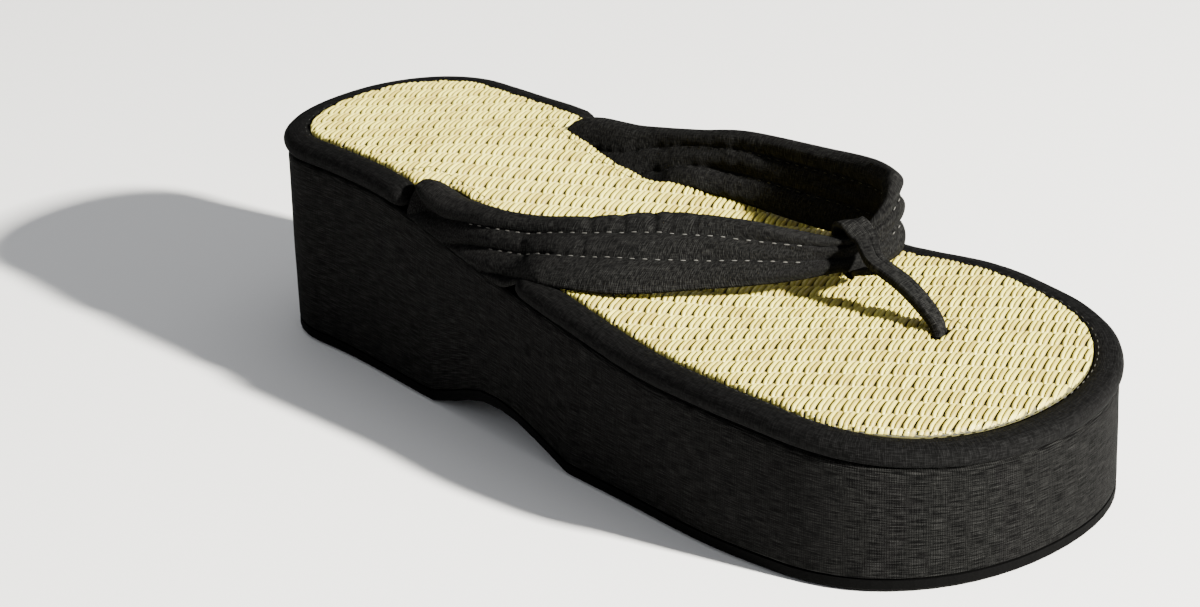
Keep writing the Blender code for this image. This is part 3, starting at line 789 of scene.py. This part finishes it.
def mat_ground():
    """The straw sheet under the floats, cut round the strap roots and the toe post, in dark rush whose
    colours hold the painted shade under the floats.
    """
    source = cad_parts["straw_mat"].data
    work = bmesh.new()
    work.from_mesh(source)
    bmesh.ops.remove_doubles(work, verts=work.verts, dist=0.01 * MM)
    for vertex in work.verts:
        if vertex.co.z > mat_top(vertex.co.x) - MM:
            vertex.co.z -= GROUND_DROP
    bmesh.ops.recalc_face_normals(work, faces=work.faces)
    mesh = bpy.data.meshes.new("straw_ground")
    work.to_mesh(mesh)
    work.free()
    return finish_piece(placed("straw_ground", mesh), STRAW_GROUND_PAINTED_SHADE)


def straw_pair():
    """Two straws side by side, arched over a rib, narrower and lower where they dive under the next."""
    steps, sides = 10, 5
    verts, faces, strands, gap_shades = [], [], [], []
    for strand, shift in enumerate((-0.5, 0.5)):
        base = len(verts)
        for i in range(steps + 1):
            t = 2 * i / steps - 1
            past = max(abs(t) - PINCH_START, 0)
            narrow = STRAND_WIDTH * (1 - FLOAT_PINCH * past**2 / PINCH_SPREAD)
            middle = -FLOAT_DIVE * abs(t) ** DIVE_POWER
            for j in range(sides):
                angle = math.pi * j / (sides - 1)
                y = narrow * (shift - math.cos(angle) / 2 * STRAND_SPREAD)
                z = middle + (math.sin(angle) - 1) * STRAND_HEIGHT
                verts.append((t * FLOAT_LENGTH / 2 - y * math.tan(STRAW_LEAN), y, z))
                strands.append(strand)
                # Painted shade along the strands' edges: full on the pair's outer sides, by the gaps, and
                # PAIR_LINE of it on the line between the two straws
                outer_side = j == (0, sides - 1)[strand]
                gap_shades.append(1.0 if outer_side else PAIR_LINE * (j in (0, sides - 1)))
        for i in range(steps):
            for j in range(sides - 1):
                a = base + i * sides + j
                faces.append((a, a + 1, a + sides + 1, a + sides))
    mesh = bpy.data.meshes.new("straw_pair")
    mesh.from_pydata(verts, [], [face[::-1] for face in faces])
    for label, numbers in (("strand", strands), ("dip", gap_shades)):
        mesh.attributes.new(label, "FLOAT", "POINT").data.foreach_set("value", numbers)
    mesh.shade_smooth()
    return placed("straw_pair", mesh)


def inputs_of(tree, sockets):
    """Adds named inputs and a geometry output to a geometry tree."""
    tree.interface.new_socket("Geometry", in_out="OUTPUT", socket_type="NodeSocketGeometry")
    for name, kind in sockets:
        tree.interface.new_socket(name, in_out="INPUT", socket_type="NodeSocket" + kind)
    return add(tree, "NodeGroupInput").outputs


def weave_tree():
    """Straw pairs on a brick grid over the mat: ribs one way, straws the other."""
    tree = bpy.data.node_groups.new("straw_weave", "GeometryNodeTree")
    given = inputs_of(tree, (
        ("Geometry", "Geometry"), ("Pair", "Object"), ("Mat", "Object"), ("Rib pitch", "Float"),
        ("Straw pitch", "Float"), ("Ribs", "Int"), ("Straws", "Int"), ("Turn", "Float"),
        ("Lean", "Float"), ("Reach", "Float"), ("Seed", "Int"), ("Straw", "Material"),
    ))
    wide = add(tree, "ShaderNodeMath", {0: given["Ribs"], 1: given["Rib pitch"]}, operation="MULTIPLY")
    deep = add(tree, "ShaderNodeMath", {0: given["Straws"], 1: given["Straw pitch"]}, operation="MULTIPLY")
    more = []
    for name in ("Ribs", "Straws"):
        more.append(add(tree, "ShaderNodeMath", {0: given[name], 1: 1.0}, operation="ADD"))
    sizes = {"Size X": wide, "Size Y": deep, "Vertices X": more[0], "Vertices Y": more[1]}
    grid = add(tree, "GeometryNodeMeshGrid", sizes)
    place = add(tree, "GeometryNodeInputPosition")
    x = add(tree, "ShaderNodeSeparateXYZ", {0: place}).outputs[0]
    rib = add(tree, "ShaderNodeMath", {0: x, 1: given["Rib pitch"]}, operation="DIVIDE")
    whole = add(tree, "ShaderNodeMath", {0: rib}, operation="ROUND")
    odd = add(tree, "ShaderNodeMath", {0: whole, 1: 2.0}, operation="FLOORED_MODULO")
    half = add(tree, "ShaderNodeMath", {0: odd, 1: given["Straw pitch"]}, operation="MULTIPLY")
    shift = add(tree, "ShaderNodeMath", {0: half, 1: 0.5}, operation="MULTIPLY")
    slope = add(tree, "ShaderNodeMath", {0: given["Lean"]}, operation="TANGENT")
    drift = add(tree, "ShaderNodeMath", {0: x, 1: slope}, operation="MULTIPLY")
    course = add(tree, "ShaderNodeMath", {0: shift, 1: drift}, operation="SUBTRACT")
    bricks = add(tree, "ShaderNodeCombineXYZ", {1: course})
    moved = add(tree, "GeometryNodeSetPosition", {"Geometry": grid, "Offset": bricks})
    turn = add(tree, "ShaderNodeCombineXYZ", {2: given["Turn"]})
    turned = add(tree, "GeometryNodeTransform", {"Geometry": moved, "Rotation": turn})
    mat = add(tree, "GeometryNodeObjectInfo", {"Object": given["Mat"]}, transform_space="RELATIVE")
    flat = add(tree, "GeometryNodeTransform", {"Geometry": mat.outputs["Geometry"], "Scale": (1, 1, 0)})
    near = add(tree, "GeometryNodeProximity", {0: flat}, target_element="FACES")
    gone = {0: near.outputs["Distance"], 1: given["Reach"]}
    far = add(tree, "FunctionNodeCompare", gone, operation="GREATER_THAN")
    kept = add(tree, "GeometryNodeDeleteGeometry", {0: turned, 1: far}, domain="POINT")
    pair = add(tree, "GeometryNodeObjectInfo", {"Object": given["Pair"]})
    sway = add(tree, "FunctionNodeRandomValue", {2: -FLOAT_SWAY, 3: FLOAT_SWAY, "Seed": given["Seed"]})
    straight = add(tree, "ShaderNodeMath", {0: given["Turn"], 1: given["Lean"]}, operation="SUBTRACT")
    heading = add(tree, "ShaderNodeMath", {0: sway.outputs[1], 1: straight}, operation="ADD")
    roll = add(tree, "FunctionNodeRandomValue", {2: -FLOAT_ROLL, 3: FLOAT_ROLL, "Seed": ROLL_SEED})
    way = add(tree, "ShaderNodeCombineXYZ", {0: roll.outputs[1], 2: heading})
    small, large = FLOAT_SIZES
    size = add(tree, "FunctionNodeRandomValue", {0: small, 1: large}, data_type="FLOAT_VECTOR")
    laid = add(tree, "GeometryNodeInstanceOnPoints", {
        "Points": kept, "Instance": pair.outputs["Geometry"], "Rotation": way, "Scale": size,
    })
    tint = add(tree, "FunctionNodeRandomValue", {2: 0.0, 3: 1.0, "Seed": TINT_SEED})
    tints = {"Geometry": laid, "Name": "tint", "Value": tint.outputs[1]}
    marked = add(tree, "GeometryNodeStoreNamedAttribute", tints, domain="INSTANCE", data_type="FLOAT")
    real = add(tree, "GeometryNodeRealizeInstances", {0: marked})
    painted = add(tree, "GeometryNodeSetMaterial", {0: real, "Material": given["Straw"]})
    add(tree, "NodeGroupOutput", {0: painted})
    return tree


def grown(name, carrier, tree, values):
    """The plain mesh that a geometry tree makes on a carrier object, as a new object."""
    modifier = carrier.modifiers.new("grow", "NODES")
    modifier.node_group = tree
    for item in tree.interface.items_tree:
        if item.in_out == "INPUT" and item.name in values:
            modifier[item.identifier] = values[item.name]
    bpy.context.view_layer.update()
    seen = carrier.evaluated_get(bpy.context.evaluated_depsgraph_get())
    mesh = bpy.data.meshes.new_from_object(seen)
    mesh.name = name
    bpy.data.objects.remove(carrier, do_unlink=True)
    return placed(name, mesh)


def straw_weave():
    """The floats over the whole mat, bent over its edge where they meet it."""
    carrier = placed("weave_carrier", bpy.data.meshes.new("weave_carrier"))
    pair = straw_pair()
    piece = grown("straw_weave", carrier, weave_tree(), {
        "Pair": pair, "Mat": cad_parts["straw_mat"], "Rib pitch": RIB_PITCH,
        "Straw pitch": STRAW_PITCH, "Ribs": RIBS, "Straws": STRAWS, "Turn": RIB_TURN - math.pi / 2,
        "Lean": STRAW_LEAN, "Reach": WEAVE_REACH, "Seed": WEAVE_SEED, "Straw": STRAW,
    })
    bpy.data.objects.remove(pair, do_unlink=True)
    lay_on_mat(piece.data)
    return finish_piece(piece, STRAW)


def lay_on_mat(mesh):
    """Lays the floats on the mat's curve, and folds what lies past its edge down over the edge."""
    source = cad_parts["straw_mat"].data
    source.calc_loop_triangles()
    points = [vertex.co for vertex in source.vertices]
    tops, walls = [], []
    for face in source.loop_triangles:
        if face.normal.z > LEVEL:
            tops.append(tuple(face.vertices))
        elif abs(face.normal.z) < STEEP:
            walls.append(tuple(face.vertices))
    top, wall = BVHTree.FromPolygons(points, tops), BVHTree.FromPolygons(points, walls)
    outside = set()
    for vertex in mesh.vertices:
        x, y, z = vertex.co
        height = mat_top(x)
        edge = wall.find_nearest(Vector((x, y, height - MM)))[0]
        away = (edge.xy - vertex.co.xy).length
        if top.ray_cast(Vector((x, y, ABOVE)), Vector((0, 0, -1)))[0] is None:
            vertex.co.xy = edge.xy
            vertex.co.z = mat_top(edge.x) - GROUND_DROP - min(away, EDGE_SINK)
            outside.add(vertex.index)
        else:
            near = 1 - min(away / EDGE_REACH, 1.0)
            vertex.co.z = height + WEAVE_LIFT + z * (1 - EDGE_FLATTEN * near) - EDGE_SINK * near**2
    work = bmesh.new()
    work.from_mesh(mesh)
    lost = [face for face in work.faces if all(vertex.index in outside for vertex in face.verts)]
    bmesh.ops.delete(work, geom=lost, context="FACES")
    work.to_mesh(mesh)
    work.free()
    # Painted shade: the second straw of each pair is pushed towards golden, the darker colour, over its
    # random tint
    tint = mesh.attributes["tint"].data
    strand = mesh.attributes["strand"].data
    for mark, number in zip(tint, strand):
        mark.value = mark.value * (1 - SHADED_STRAND_TINT) + number.value * SHADED_STRAND_TINT
    mesh.attributes.remove(mesh.attributes["strand"])
    mesh.shade_smooth()


def edge_point(edge):
    """A strap edge's place from its shares."""
    along, out, up = edge
    x = HEEL_X + along * LENGTH
    z = shelf(x) if up is SEATED else seat(x) + up * STRAP_RISE
    return [x, AXIS_Y + out * float(half_width(x, out)), z]


def strap_table():
    """Each section as one row of numbers: three edge points, the pleats, and whether it hangs free."""
    return np.array([
        edge_point(row.top) + edge_point(row.outer) + edge_point(row.inner)
        + [row.pleats, 0.0 if row.outer[2] is SEATED else 1.0]
        for row in STRAP
    ])


STRAP_TABLE = strap_table()


def strap_row(row):
    """The table's numbers at rows that may lie between its sections."""
    return smooth(np.arange(len(STRAP)), STRAP_TABLE, row)


def rounded(distance):
    """How far a face is drawn in, as a share, at this share of the way out of a rounded edge."""
    return EDGE_PINCH * (1 - np.sqrt(1 - (1 - np.minimum(distance, 1.0)) ** 2))


def pleat_count(pleats, share):
    """How many pleats lie between the top of a face and this share of the way down."""
    return pleats * share * (1 + PLEAT_LEAN * (1 - share))


def valley(pleats, number):
    """The share down a face where a pleat's valley lies."""
    slope = 1 + PLEAT_LEAN
    inside = np.maximum(slope**2 - 4 * PLEAT_LEAN * number / pleats, 0)
    return (slope - np.sqrt(inside)) / (2 * PLEAT_LEAN)


def strap_points(row, side, share):
    """Points of the strap's face at rows of the table and shares down the face, and its outward way."""
    values = strap_row(row)
    top, outer, inner = values[:, 0:3], values[:, 3:6], values[:, 6:9]
    pleats, free = values[:, 9], values[:, 10]
    down = unit((outer + inner) / 2 - top)
    across = outer - inner
    out = unit(across - down * (across * down).sum(axis=1, keepdims=True))
    half_foot = np.linalg.norm(across, axis=1) / 2
    half_top = np.minimum(STRAP_THICKNESS / 2, half_foot)
    start = top + out * (side * half_top)[:, None]
    foot = np.where(side[:, None] > 0, outer, inner)
    point = start + (foot - start) * share[:, None]
    turn = pleat_count(pleats, share) % 1
    fold = np.sin(math.pi * turn**PLEAT_SKEW) ** PLEAT_FLATNESS
    fade = np.clip(np.minimum(share / PLEAT_FADE_TOP, (1 - share) / PLEAT_FADE_FOOT), 0, 1)
    fullness = np.where(side > 0, 1.0, INNER_FULLNESS)
    swell = PLEAT_RISE * fullness * (fold - PLEAT_SINK) * fade
    drawn = half_top * (rounded(share / TOP_ROUND) + free * rounded((1 - share) / FOOT_ROUND))
    return point + out * (side * (swell - drawn))[:, None], out * side[:, None]


# The strap's points ring by ring, with their outward way, row in the table, side, share and
# length along the strap, and how many rings there are and how many points in each
Grid = namedtuple("Grid", "points out row side share along rings width")


def strap_grid():
    """The strap's points at even steps along it, down its outer face and up its inner one."""
    fine = np.linspace(0, len(STRAP) - 1, 1200)
    values = strap_row(fine)
    middle = (values[:, 0:3] + values[:, 3:6] + values[:, 6:9]) / 3
    length = distance_along(middle)
    rings = int(length[-1] / RING_SPACING)
    rows = np.interp(np.linspace(0, length[-1], rings), length, fine)
    shares = np.concatenate([np.linspace(0, 1, OUTER_STEPS + 1), np.linspace(1, 0, INNER_STEPS + 1)])
    sides = np.concatenate([np.ones(OUTER_STEPS + 1), -np.ones(INNER_STEPS + 1)])
    row = np.repeat(rows, len(shares))
    side, share = np.tile(sides, rings), np.tile(shares, rings)
    points, out = strap_points(row, side, share)
    return Grid(points, out, row, side, share, np.interp(row, fine, length), rings, len(shares))


def crease_depths(grid):
    """How far each point of the strap is pressed in by the listed creases."""
    depth = np.zeros(len(grid.points))
    for crease in CREASES:
        rows = np.array([crease.row, crease.row, crease.row + CREASE_STEP])
        shares = np.array([crease.share, min(crease.share + CREASE_STEP, 1.0), crease.share])
        (centre, below, ahead), _ = strap_points(rows, np.full(3, float(crease.face)), shares)
        run, fall = unit(ahead - centre), unit(below - centre)
        fall = unit(fall - run * (fall @ run))
        angle = math.radians(crease.turn)
        line = run * math.cos(angle) + fall * math.sin(angle)
        cross = fall * math.cos(angle) - run * math.sin(angle)
        offset = grid.points - centre
        reach = np.abs(offset @ line) / (crease.length / 2)
        press = np.exp(-((offset @ cross) / crease.width) ** 2) * np.clip(1 - reach**2, 0, 1)
        here = grid.along[np.argmin(np.abs(grid.row - crease.row))]
        near = (grid.side == crease.face) & (np.abs(grid.along - here) < crease.length)
        depth += crease.depth * press * near
    return depth


def strap():
    """The wide strap: three stitched pleats, small puckers at the seams, and creases by the loop."""
    grid = strap_grid()
    pleats = strap_row(grid.row)[:, 9]
    count = pleat_count(pleats, grid.share)
    seam = np.exp(-((count - np.round(count)) / SEAM_PULL) ** 2) * (count > 0.5)
    face = np.column_stack([grid.along, grid.share * FACE_WIDTH, grid.side * FACES_APART])
    pucker = ripple(face * PUCKER_STRETCH, PUCKER)
    pucker = pucker * (PUCKER.height + PUCKER_AT_SEAM * seam)
    soft = ripple(face * SOFT_STRETCH, SOFT_WAVE) * SOFT_WAVE.height
    inside = np.clip(np.minimum(grid.share, 1 - grid.share) / CLOTH_FADE, 0, 1)
    moved = grid.points + grid.out * ((pucker + soft) * inside - crease_depths(grid))[:, None]
    piece = skin("pleated_strap", moved.reshape(grid.rings, grid.width, 3), wrap=True, ends=True)
    return finish_piece(piece, STRAP_COTTON)


def strip_profile():
    """Cross-section of the post's folded strip: across its width, and through its thickness."""
    thick = POST_THICKNESS / 2
    edge = thick * STRIP_EDGE
    wide = POST_WIDTH / 2 - edge
    points = []
    for side in (1, -1):
        for share in np.linspace(1, -1, 17):
            across = side * share * wide
            groove = FOLD_DEPTH * math.exp(-(((across - STRIP_FOLD) / FOLD_WIDTH) ** 2))
            crown = STRIP_CROWN * (1 - share**2)
            points.append((across, side * (thick * STRIP_FLAT + crown - groove)))
        for turn in np.radians((60, 30, 0, -30, -60)):
            points.append((-side * (wide + edge * math.cos(turn)), side * thick * math.sin(turn)))
    return np.array(points)


def loop_point(cloud, angle, lean):
    """Where the strip's middle lies at an angle round the gathered strap, from its top."""
    middles = strap_row(np.array(LOOP_ROWS, float))
    centres = (middles[:, 0:3] + middles[:, 3:6] + middles[:, 6:9]) / 3
    along = unit(centres[1] - centres[0])
    over = unit(np.array([0, 0, 1.0]) - along * along[2])
    way = over * math.cos(angle) + np.cross(along, over) * math.sin(angle)
    centre = centres.mean(axis=0) + along * lean
    offset = cloud - centre
    near = np.abs(offset @ along) < POST_WIDTH / 2
    near &= np.linalg.norm(offset, axis=1) < LOOP_REACH
    reach = offset[near][np.argmax(offset[near] @ way)]
    flat = reach - along * (reach @ along)
    lift = GAP + POST_THICKNESS * LOOP_STAND + LOOP_LIFT * max(math.cos(angle), 0)
    return centre + flat + way * lift, way, along


def heading_way(degrees):
    """A level direction, from its degrees."""
    return np.array([math.cos(math.radians(degrees)), math.sin(math.radians(degrees)), 0.0])


def toe_strip(cloud):
    """The post's strip: back under the gathered strap, up behind it, over it, and down into the mat."""
    turns, leans = np.array(LOOP).T
    angles = np.linspace(turns[0], turns[-1], LOOP_POINTS)
    leans = smooth(turns, leans, angles)[:, 0]
    around = [loop_point(cloud, math.radians(turn), lean) for turn, lean in zip(angles, leans)]
    back = [edge_point(row[:3]) for row in TURN_BACK]
    down = [edge_point(row[:3]) for row in POST]
    down.append([*down[-1][:2], shelf(down[-1][0]) - POST_DEPTH])
    down = smooth(np.arange(len(down)), down, np.linspace(0, len(down) - 1, POST_POINTS))
    line = np.vstack([back, [point for point, _, _ in around], down])
    headings = np.linspace(0, len(POST), POST_POINTS)
    headings = np.interp(headings, range(len(POST)), [row.turn for row in POST])
    wide = [heading_way(row.turn) for row in TURN_BACK] + [along for _, _, along in around]
    wide = np.vstack([wide, [heading_way(turn) for turn in headings]])
    length = distance_along(line)
    even = np.linspace(0, length[-1], LOOP_POINTS + POST_POINTS)
    both = np.array([np.interp(even, length, column) for column in np.hstack([line, wide]).T]).T
    for _ in range(STRIP_SMOOTHING):
        both[1:-1] = (both[:-2] + both[1:-1] * 2 + both[2:]) / 4
    line, wide = both[:, :3], both[:, 3:]
    run = unit(np.gradient(line, axis=0))
    wide = unit(wide - run * (wide * run).sum(axis=1, keepdims=True))
    thick = np.cross(run, wide)
    keys, *shares = np.array(STRIP_SIZES).T
    sizes = smooth(keys, np.array(shares).T, even / length[-1])
    sizes *= 1 + STRIP_WAVE.height * ripple(line, STRIP_WAVE)[:, None]
    profile = strip_profile()
    rings = line[:, None] + wide[:, None] * profile[None, :, :1] * sizes[:, None, :1]
    rings = rings + thick[:, None] * profile[None, :, 1:] * sizes[:, None, 1:]
    piece = skin("toe_post_strip", rings, wrap=True, ends=True)
    return finish_piece(piece, STRAP_COTTON)


def stitch_mesh():
    """One stitch: a short thread that dives into the cloth at both ends."""
    steps, sides = 6, 6
    rings = []
    for i in range(steps + 1):
        t = 2 * i / steps - 1
        size = STITCH_THICKNESS / 2 * math.sqrt(max(1 - abs(t) ** 3, 0.03))
        ring = []
        for j in range(sides):
            angle = 2 * math.pi * j / sides
            ring.append((t * STITCH_LENGTH / 2, size * math.cos(angle), size * math.sin(angle)))
        rings.append(ring)
    return skin("stitch", rings, wrap=True, ends=True)


def stitch_tree():
    """Stitches at an even pitch along a line, each turned along it."""
    tree = bpy.data.node_groups.new("stitch_row", "GeometryNodeTree")
    given = inputs_of(tree, (
        ("Geometry", "Geometry"), ("Stitch", "Object"), ("Pitch", "Float"), ("Thread", "Material"),
    ))
    lengths = {"Curve": given["Geometry"], "Length": given["Pitch"]}
    spaced = add(tree, "GeometryNodeResampleCurve", lengths, mode="LENGTH")
    way = add(tree, "GeometryNodeInputTangent")
    turn = add(tree, "FunctionNodeAlignRotationToVector", {"Vector": way}, axis="X")
    stitch = add(tree, "GeometryNodeObjectInfo", {"Object": given["Stitch"]})
    small, large = STITCH_SIZES
    size = add(tree, "FunctionNodeRandomValue", {0: small, 1: large}, data_type="FLOAT_VECTOR")
    laid = add(tree, "GeometryNodeInstanceOnPoints", {
        "Points": spaced, "Instance": stitch.outputs["Geometry"], "Rotation": turn, "Scale": size,
    })
    real = add(tree, "GeometryNodeRealizeInstances", {0: laid})
    painted = add(tree, "GeometryNodeSetMaterial", {0: real, "Material": given["Thread"]})
    add(tree, "NodeGroupOutput", {0: painted})
    return tree


STITCH = stitch_mesh()
STITCH_TREE = stitch_tree()


def stitch_row(name, points, thread, pitch=STITCH_PITCH):
    """A row of stitches along a line of points."""
    curve = bpy.data.curves.new(name, "CURVE")
    curve.dimensions = "3D"
    spline = curve.splines.new("POLY")
    spline.points.add(len(points) - 1)
    spline.points.foreach_set("co", np.column_stack([points, np.ones(len(points))]).ravel())
    carrier = placed(name + "_line", curve)
    piece = grown(name, carrier, STITCH_TREE, {"Stitch": STITCH, "Pitch": pitch, "Thread": thread})
    piece.data.shade_smooth()
    return finish_piece(piece, thread)


def rim_seam(name, places):
    """The seam on the rim, just outside the mat."""
    line = inset(SOLE_LINE, RIM_WIDTH - RIM_SEAM_INSET)[places][RIM_SEAM_ENDS:-RIM_SEAM_ENDS]
    heights = seat(line[:, 0]) + STITCH_LIFT
    # The rim's grey thread holds painted glints in its colour
    return stitch_row(name, np.column_stack([line, heights]), GREY_GLINT_THREAD)


def strap_seams(piece):
    """The two rows of stitches in the valleys between the pleats, on both faces of the strap."""
    points = [vertex.co for vertex in piece.data.vertices]
    tree = BVHTree.FromPolygons(points, [tuple(face.vertices) for face in piece.data.polygons])
    for seam in STRAP_SEAMS:
        row = np.linspace(seam.first, seam.last, SEAM_POINTS)
        pleats = strap_row(row)[:, 9]
        share = valley(pleats, seam.valley) + SEAM_BELOW_VALLEY
        points, _ = strap_points(row, np.full(SEAM_POINTS, float(seam.face)), share)
        laid = []
        for point in points:
            spot, normal, _, _ = tree.find_nearest(Vector(point))
            laid.append(spot + normal * STITCH_LIFT)
        # Outer rows take the pale thread, whose colour holds painted glints; inner rows take the black
        thread = PALE_GLINT_THREAD if seam.face > 0 else BLACK_THREAD
        stitch_row(f"strap_seam_{seam.label}_{seam.valley}", np.array(laid), thread)


def mat_seams():
    """Dark stitches that hold the mat's cut edges at the strap roots, and an arc round the post's hole."""
    for label, points in MAT_SEAMS.items():
        places = np.linspace(0, len(points) - 1, MAT_SEAM_POINTS)
        line = smooth(np.arange(len(points)), points, places) * MM
        x, y = HEEL_X + line[:, 0], AXIS_Y + line[:, 1]
        laid = np.column_stack([x, y, mat_top(x) + MAT_SEAM_LIFT])
        stitch_row(f"mat_seam_{label}", laid, DARK_THREAD, MAT_SEAM_PITCH)
    middle = edge_point(POST[-1][:3])
    angles = np.radians(np.linspace(*POST_ARC_ENDS, POST_ARC_POINTS))
    x = middle[0] + POST_ARC[0] * np.cos(angles)
    y = middle[1] + POST_ARC[1] * np.sin(angles)
    laid = np.column_stack([x, y, mat_top(x) + POST_ARC_LIFT])
    stitch_row("mat_seam_post", laid, DARK_THREAD, POST_ARC_PITCH)


def camera():
    """The photograph's camera."""
    down, roll, heading = CAMERA_DOWN, CAMERA_ROLL, CAMERA_HEADING
    level = Vector((-math.sin(heading), math.cos(heading), 0))
    ahead = level * math.cos(down) - Vector((0, 0, math.sin(down)))
    right = Vector((math.cos(heading), math.sin(heading), 0))
    up = right.cross(ahead)
    side = right * math.cos(roll) + up * math.sin(roll)
    rise = up * math.cos(roll) - right * math.sin(roll)
    data = bpy.data.cameras.new("camera")
    data.sensor_width = SENSOR_WIDTH
    data.lens = FOCAL_PIXELS * SENSOR_WIDTH / IMAGE_WIDTH
    made = placed("camera", data)
    x, y, z = CAMERA_POINT
    turn = Matrix((side, rise, -ahead)).transposed().to_4x4()
    made.matrix_world = Matrix.Translation((x + HEEL_X, y + AXIS_Y, z)) @ turn
    bpy.context.scene.camera = made


def hang(lamp):
    """Hangs a square soft lamp that shines on the shoe."""
    data = bpy.data.lights.new(lamp.name, "AREA")
    data.size = lamp.size
    data.energy = lamp.power
    data.color = linear(lamp.colour)[:3]
    made = placed(lamp.name, data)
    way = Vector(lamp.way).normalized()
    turn = way.to_track_quat("Z", "Y").to_matrix().to_4x4()
    made.matrix_world = Matrix.Translation(way * lamp.distance) @ turn


def studio():
    """A plain pale floor, a key lamp from the toe's side and soft light all round."""
    bpy.ops.mesh.primitive_plane_add(size=FLOOR_SIZE, location=(0, 0, -FLOOR_DROP))
    floor = bpy.context.object
    floor.name = "floor"
    paper, _, shader = new_material("floor_paper", 0.9)
    shader.inputs["Base Color"].default_value = linear(FLOOR_COLOUR)
    floor.data.materials.append(paper)
    for lamp in LAMPS:
        hang(lamp)
    world = bpy.data.worlds.new("studio")
    world.use_nodes = True
    background = world.node_tree.nodes["Background"]
    background.inputs["Color"].default_value = linear(WORLD_COLOUR)
    background.inputs["Strength"].default_value = WORLD_STRENGTH
    bpy.context.scene.world = world


camera()
studio()

cotton_cover = cover()
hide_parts("wedge_sole")
heel_places, toe_places = rim_places()
rims = [rim_part("rim_heel", heel_places), rim_part("rim_toe", toe_places)]
for rim in rims:
    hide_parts("footbed")
ground = mat_ground()
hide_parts("straw_mat")
straw_weave()
pleated = strap()
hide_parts("strap")
post_strip = toe_strip(np.array([vertex.co for vertex in pleated.data.vertices]))
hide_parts("toe_post")
rubber_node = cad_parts["outsole"]
rubber_node.data.materials.clear()
rubber_node.data.materials.append(RUBBER)

rim_seam("rim_seam_heel", heel_places)
rim_seam("rim_seam_toe", toe_places)
strap_seams(pleated)
mat_seams()
bpy.data.objects.remove(STITCH, do_unlink=True)
